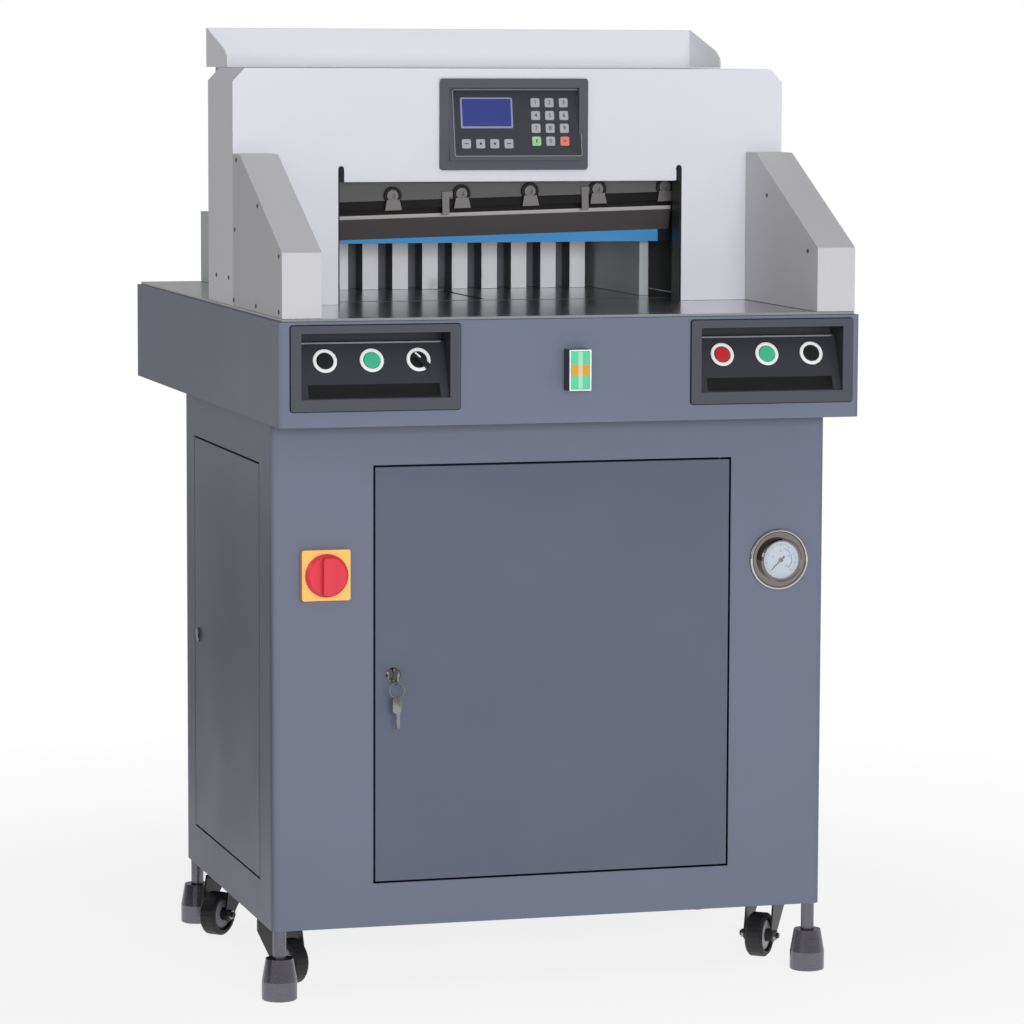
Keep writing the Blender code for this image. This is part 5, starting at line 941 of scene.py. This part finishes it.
# %% Flange over the opening
opening_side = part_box("throat_liner")[1].x - 8.0 * MM
FLANGE_LOW, FLANGE_HIGH = 1.0864, 1.1012
flange_place = tilted(Vector((0.0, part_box("head_front_panel")[0].y, (FLANGE_LOW + FLANGE_HIGH) / 2)))
flange = pad(2 * opening_side, FLANGE_HIGH - FLANGE_LOW, *mm(0.8, 0.6, 0.5), flange_place)
keep("opening_flange", flange, PALE_COAT)
print("flange", round(2 * opening_side, 3), "wide")

# %% [markdown]
# A split ring hangs from the key in the door's lock and carries the spare key. The ring is
# a circle turned round a circle, and the key is a rounded bow with a notched shank.

# %% Key ring and spare key
LOCK = pin("front_lock_turn")
RING_RADIUS, WIRE_RADIUS, RING_DROP, BOW_DROP, SHANK_DEPTH = mm(10.2, 0.8, 17.4, 10.5, 1.6)
KEY_PLANE = -0.389
ring_middle = Vector((LOCK.x, KEY_PLANE, LOCK.z - RING_DROP))
wire = oval(range(0, 360, 36), RING_RADIUS, WIRE_RADIUS, WIRE_RADIUS)
keep("key_ring", turned(wire, tilted(ring_middle), sides=40, loop=True), NICKEL, "front_lock",
     smooth=60.0)
bow_middle = ring_middle + DOWN * (RING_RADIUS + BOW_DROP)
shank = drawn((-2.6, 0), (2.6, 0), (2.6, -19), (0.4, -22), (-1.4, -20), (-1.4, -16), (-2.6, -15),
              (-1.6, -12.5), (-2.6, -10), (-1.4, -7.5), (-2.6, -5))
spare = [pad(*mm(12, 22, 2, 4, 0.5), tilted(bow_middle + REAR * MM)),
         slab(shank, SHANK_DEPTH, tilted(bow_middle + Vector(mm(1.5, 0.8, -10))))]
keep("spare_key", joined(spare), NICKEL, "front_lock")
print("spare key reaches", round(bow_middle.z - 32 * MM, 3))

# %% [markdown]
# Each caster is a black tyre on a pale moulded disc, an axle with a nut at each end, and a
# plate with four bolts. The discs roll with the wheels, the nuts swivel with the forks, and
# the bolts stay on the machine.

# %% Casters
CASTERS = [end + "_" + side for end in ("front", "rear") for side in ("left", "right")]
CHEEK_OUTSIDE, PAD_BOLT, AXLE_NUT, BOLT_HEAD = mm(20.8, 23.5, 7.2, 5.5)
PAD_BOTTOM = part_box("cabinet_base")[0].z
disc = drawn((9.4, 7.5), (20.5, 7.5), (20.5, 8.7), (19.5, 9.5), (12.4, 10.3), (9.4, 10.3))
axle_nut = head_sizes(AXLE_NUT, 5.0 * MM, crown=0.92, socket=0.5, depth=0.3)
bolt = head_sizes(BOLT_HEAD, 3.6 * MM, crown=0.9, socket=0.3, depth=0.2)
bolt_spots = []
for caster in CASTERS:
    hub = pin(caster + "_wheel_roll")
    axle = Vector(JOINTS[caster + "_wheel_roll"]["axis"]).normalized()
    discs, nuts = [], []
    for way in (axle, -axle):
        facing = Matrix.Translation(hub) @ way.to_track_quat("Z", "Y").to_matrix().to_4x4()
        discs.append(turned(disc, facing, loop=True))
        nuts.append((hub + way * CHEEK_OUTSIDE, way))
    keep(caster + "_wheel_discs", joined(discs), HUB_NYLON, caster + "_wheel")
    grown(caster + "_axle_nuts", NUT, nuts, axle_nut, NICKEL, caster + "_caster")
    x, y, _ = pin(caster + "_caster_swivel")
    bolt_spots += [((x + side * PAD_BOLT, y + end * PAD_BOLT, PAD_BOTTOM), DOWN)
                   for side in (-1, 1) for end in (-1, 1)]
grown("caster_bolts", NUT, bolt_spots, bolt, SCREW_ZINC)
print("casters", CASTERS)

# %% [markdown]
# The camera repeats the photograph's view. Its place, turn and lens were fitted to the
# corners of the cabinet, the table and the head.

# %% Camera
CAMERA_PLACE = Vector((-1.62344, -5.83746, 1.25799))
CAMERA_YAW = radians(15.983)
CAMERA_PITCH = radians(6.103)
CAMERA_ROLL = 0.00348
CAMERA_LENS = 149.87

forward = Vector((sin(CAMERA_YAW) * cos(CAMERA_PITCH),
                  cos(CAMERA_YAW) * cos(CAMERA_PITCH), -sin(CAMERA_PITCH)))
level_right = Vector((cos(CAMERA_YAW), -sin(CAMERA_YAW), 0.0))
level_up = level_right.cross(forward)
camera_right = cos(CAMERA_ROLL) * level_right + sin(CAMERA_ROLL) * level_up
camera_up = camera_right.cross(forward)
camera = placed("camera", bpy.data.cameras.new("camera"))
turn = Matrix((camera_right, camera_up, -forward)).transposed().to_4x4()
camera.matrix_world = Matrix.Translation(CAMERA_PLACE) @ turn
camera.data.sensor_width = 36.0
camera.data.lens = CAMERA_LENS
camera.data.clip_end = 60.0
bpy.context.scene.camera = camera
print("camera looks along", forward)

# %% [markdown]
# The floor and the world are white where the camera sees them, as in a catalogue, while the
# light that they give stays soft. Light Path tells the two apart; in reflections only the
# floor is white. It keeps a faint shadow round the machine and fades to plain white further
# out, so no horizon shows.

# %% Floor and world
FLOOR_SIZE = 14.0
NEAR_GLOW, NEAR_REACH, FAR_REACH = 0.84, 0.7, 1.9
WORLD_LIGHT = 0.38


def seen_directly(tree, in_gloss):
    """1 for rays from the camera or through glass, and off gloss too if in_gloss is 1."""
    path = add(tree, "ShaderNodeLightPath")
    gloss = reckon(tree, "MULTIPLY", path.outputs["Is Glossy Ray"], in_gloss)
    some = reckon(tree, "MAXIMUM", path.outputs["Is Camera Ray"], gloss)
    return reckon(tree, "MAXIMUM", some, path.outputs["Is Transmission Ray"])


def sheet(name, size, finish):
    bpy.ops.mesh.primitive_plane_add(size=size)
    plane = bpy.context.object
    plane.name = name
    plane.data.materials.append(finish)
    return plane


floor_paper, tree, _, _ = blank("white paper floor", "f4f4f4", 1.0)
tree.nodes.clear()
matt = add(tree, "ShaderNodeBsdfDiffuse", {"Color": linear("f4f4f4")})
glow = add(tree, "ShaderNodeEmission", {"Color": linear("ffffff"), "Strength": 1.0})
place = add(tree, "ShaderNodeTexCoord").outputs["Object"]
away = add(tree, "ShaderNodeVectorMath", {0: place}, operation="LENGTH").outputs["Value"]
fade = add(tree, "ShaderNodeMapRange", {"Value": away, "From Min": NEAR_REACH, "From Max": FAR_REACH,
                                        "To Min": NEAR_GLOW, "To Max": 1.0})
amount = reckon(tree, "MULTIPLY", seen_directly(tree, 1.0), fade)
blend = add(tree, "ShaderNodeMixShader", {0: amount, 1: matt, 2: glow})
add(tree, "ShaderNodeOutputMaterial", {"Surface": blend})
floor = sheet("floor", FLOOR_SIZE, floor_paper)

world = bpy.data.worlds.new("soft white room")
bpy.context.scene.world = world
world.use_nodes = True
tree = world.node_tree
strength = ranged(tree, seen_directly(tree, 0.0), WORLD_LIGHT, 1.0)
feed(tree, tree.nodes["Background"], {"Color": linear("ffffff"), "Strength": strength})
print("floor and world ready")

# %% [markdown]
# The photograph's main light is in front, at about the camera's height: it reaches through
# the throat to the back gauge, and leaves slopes and sides darker than the fronts. Gloss
# doesn't mirror it. A weak lamp on the left keeps the side from going flat, and one above
# gives the edges a line. A dark card, which the camera doesn't see, stands beside the
# machine and darkens the cabinet's side.

# %% Lamps
def lamp(name, place, target, power, size, colour="ffffff"):
    light = placed(name, bpy.data.lights.new(name, "AREA"))
    light.data.energy = power
    light.data.size = size
    light.data.color = linear(colour)[:3]
    light.location = place
    light.rotation_euler = (Vector(target) - Vector(place)).to_track_quat("-Z", "Y").to_euler()
    return light


THROAT, LEFT_SIDE, MACHINE_MIDDLE = (0.0, 0.0, 0.96), (0.0, 0.0, 1.0), (0.0, 0.0, 0.75)
front_lamp = lamp("front lamp", place=(-0.2, -4.8, 1.30), target=THROAT, power=125.0, size=2.0)
front_lamp.data.shape = "RECTANGLE"
front_lamp.data.size_y = 0.7
front_lamp.visible_glossy = False
lamp("left lamp", place=(-4.2, -1.6, 2.2), target=LEFT_SIDE, power=14.0, size=1.6, colour="ffeee0")
lamp("top lamp", place=(0.2, -0.6, 4.2), target=MACHINE_MIDDLE, power=10.0, size=2.4)

FLAG_WIDTH, FLAG_HEIGHT, FLAG_LIFT = 2.6, 0.50, 0.03
flag = sheet("left flag", 1.0, blank("brown black card", "2a2222", 0.5)[0])
flag.scale = (FLAG_WIDTH, FLAG_HEIGHT, 1.0)
flag.rotation_euler = (radians(90.0), 0.0, radians(90.0))
flag.location = (-0.9, 0.75, FLAG_LIFT + FLAG_HEIGHT / 2)
flag.visible_camera = False
bpy.context.scene.view_settings.view_transform = "Standard"
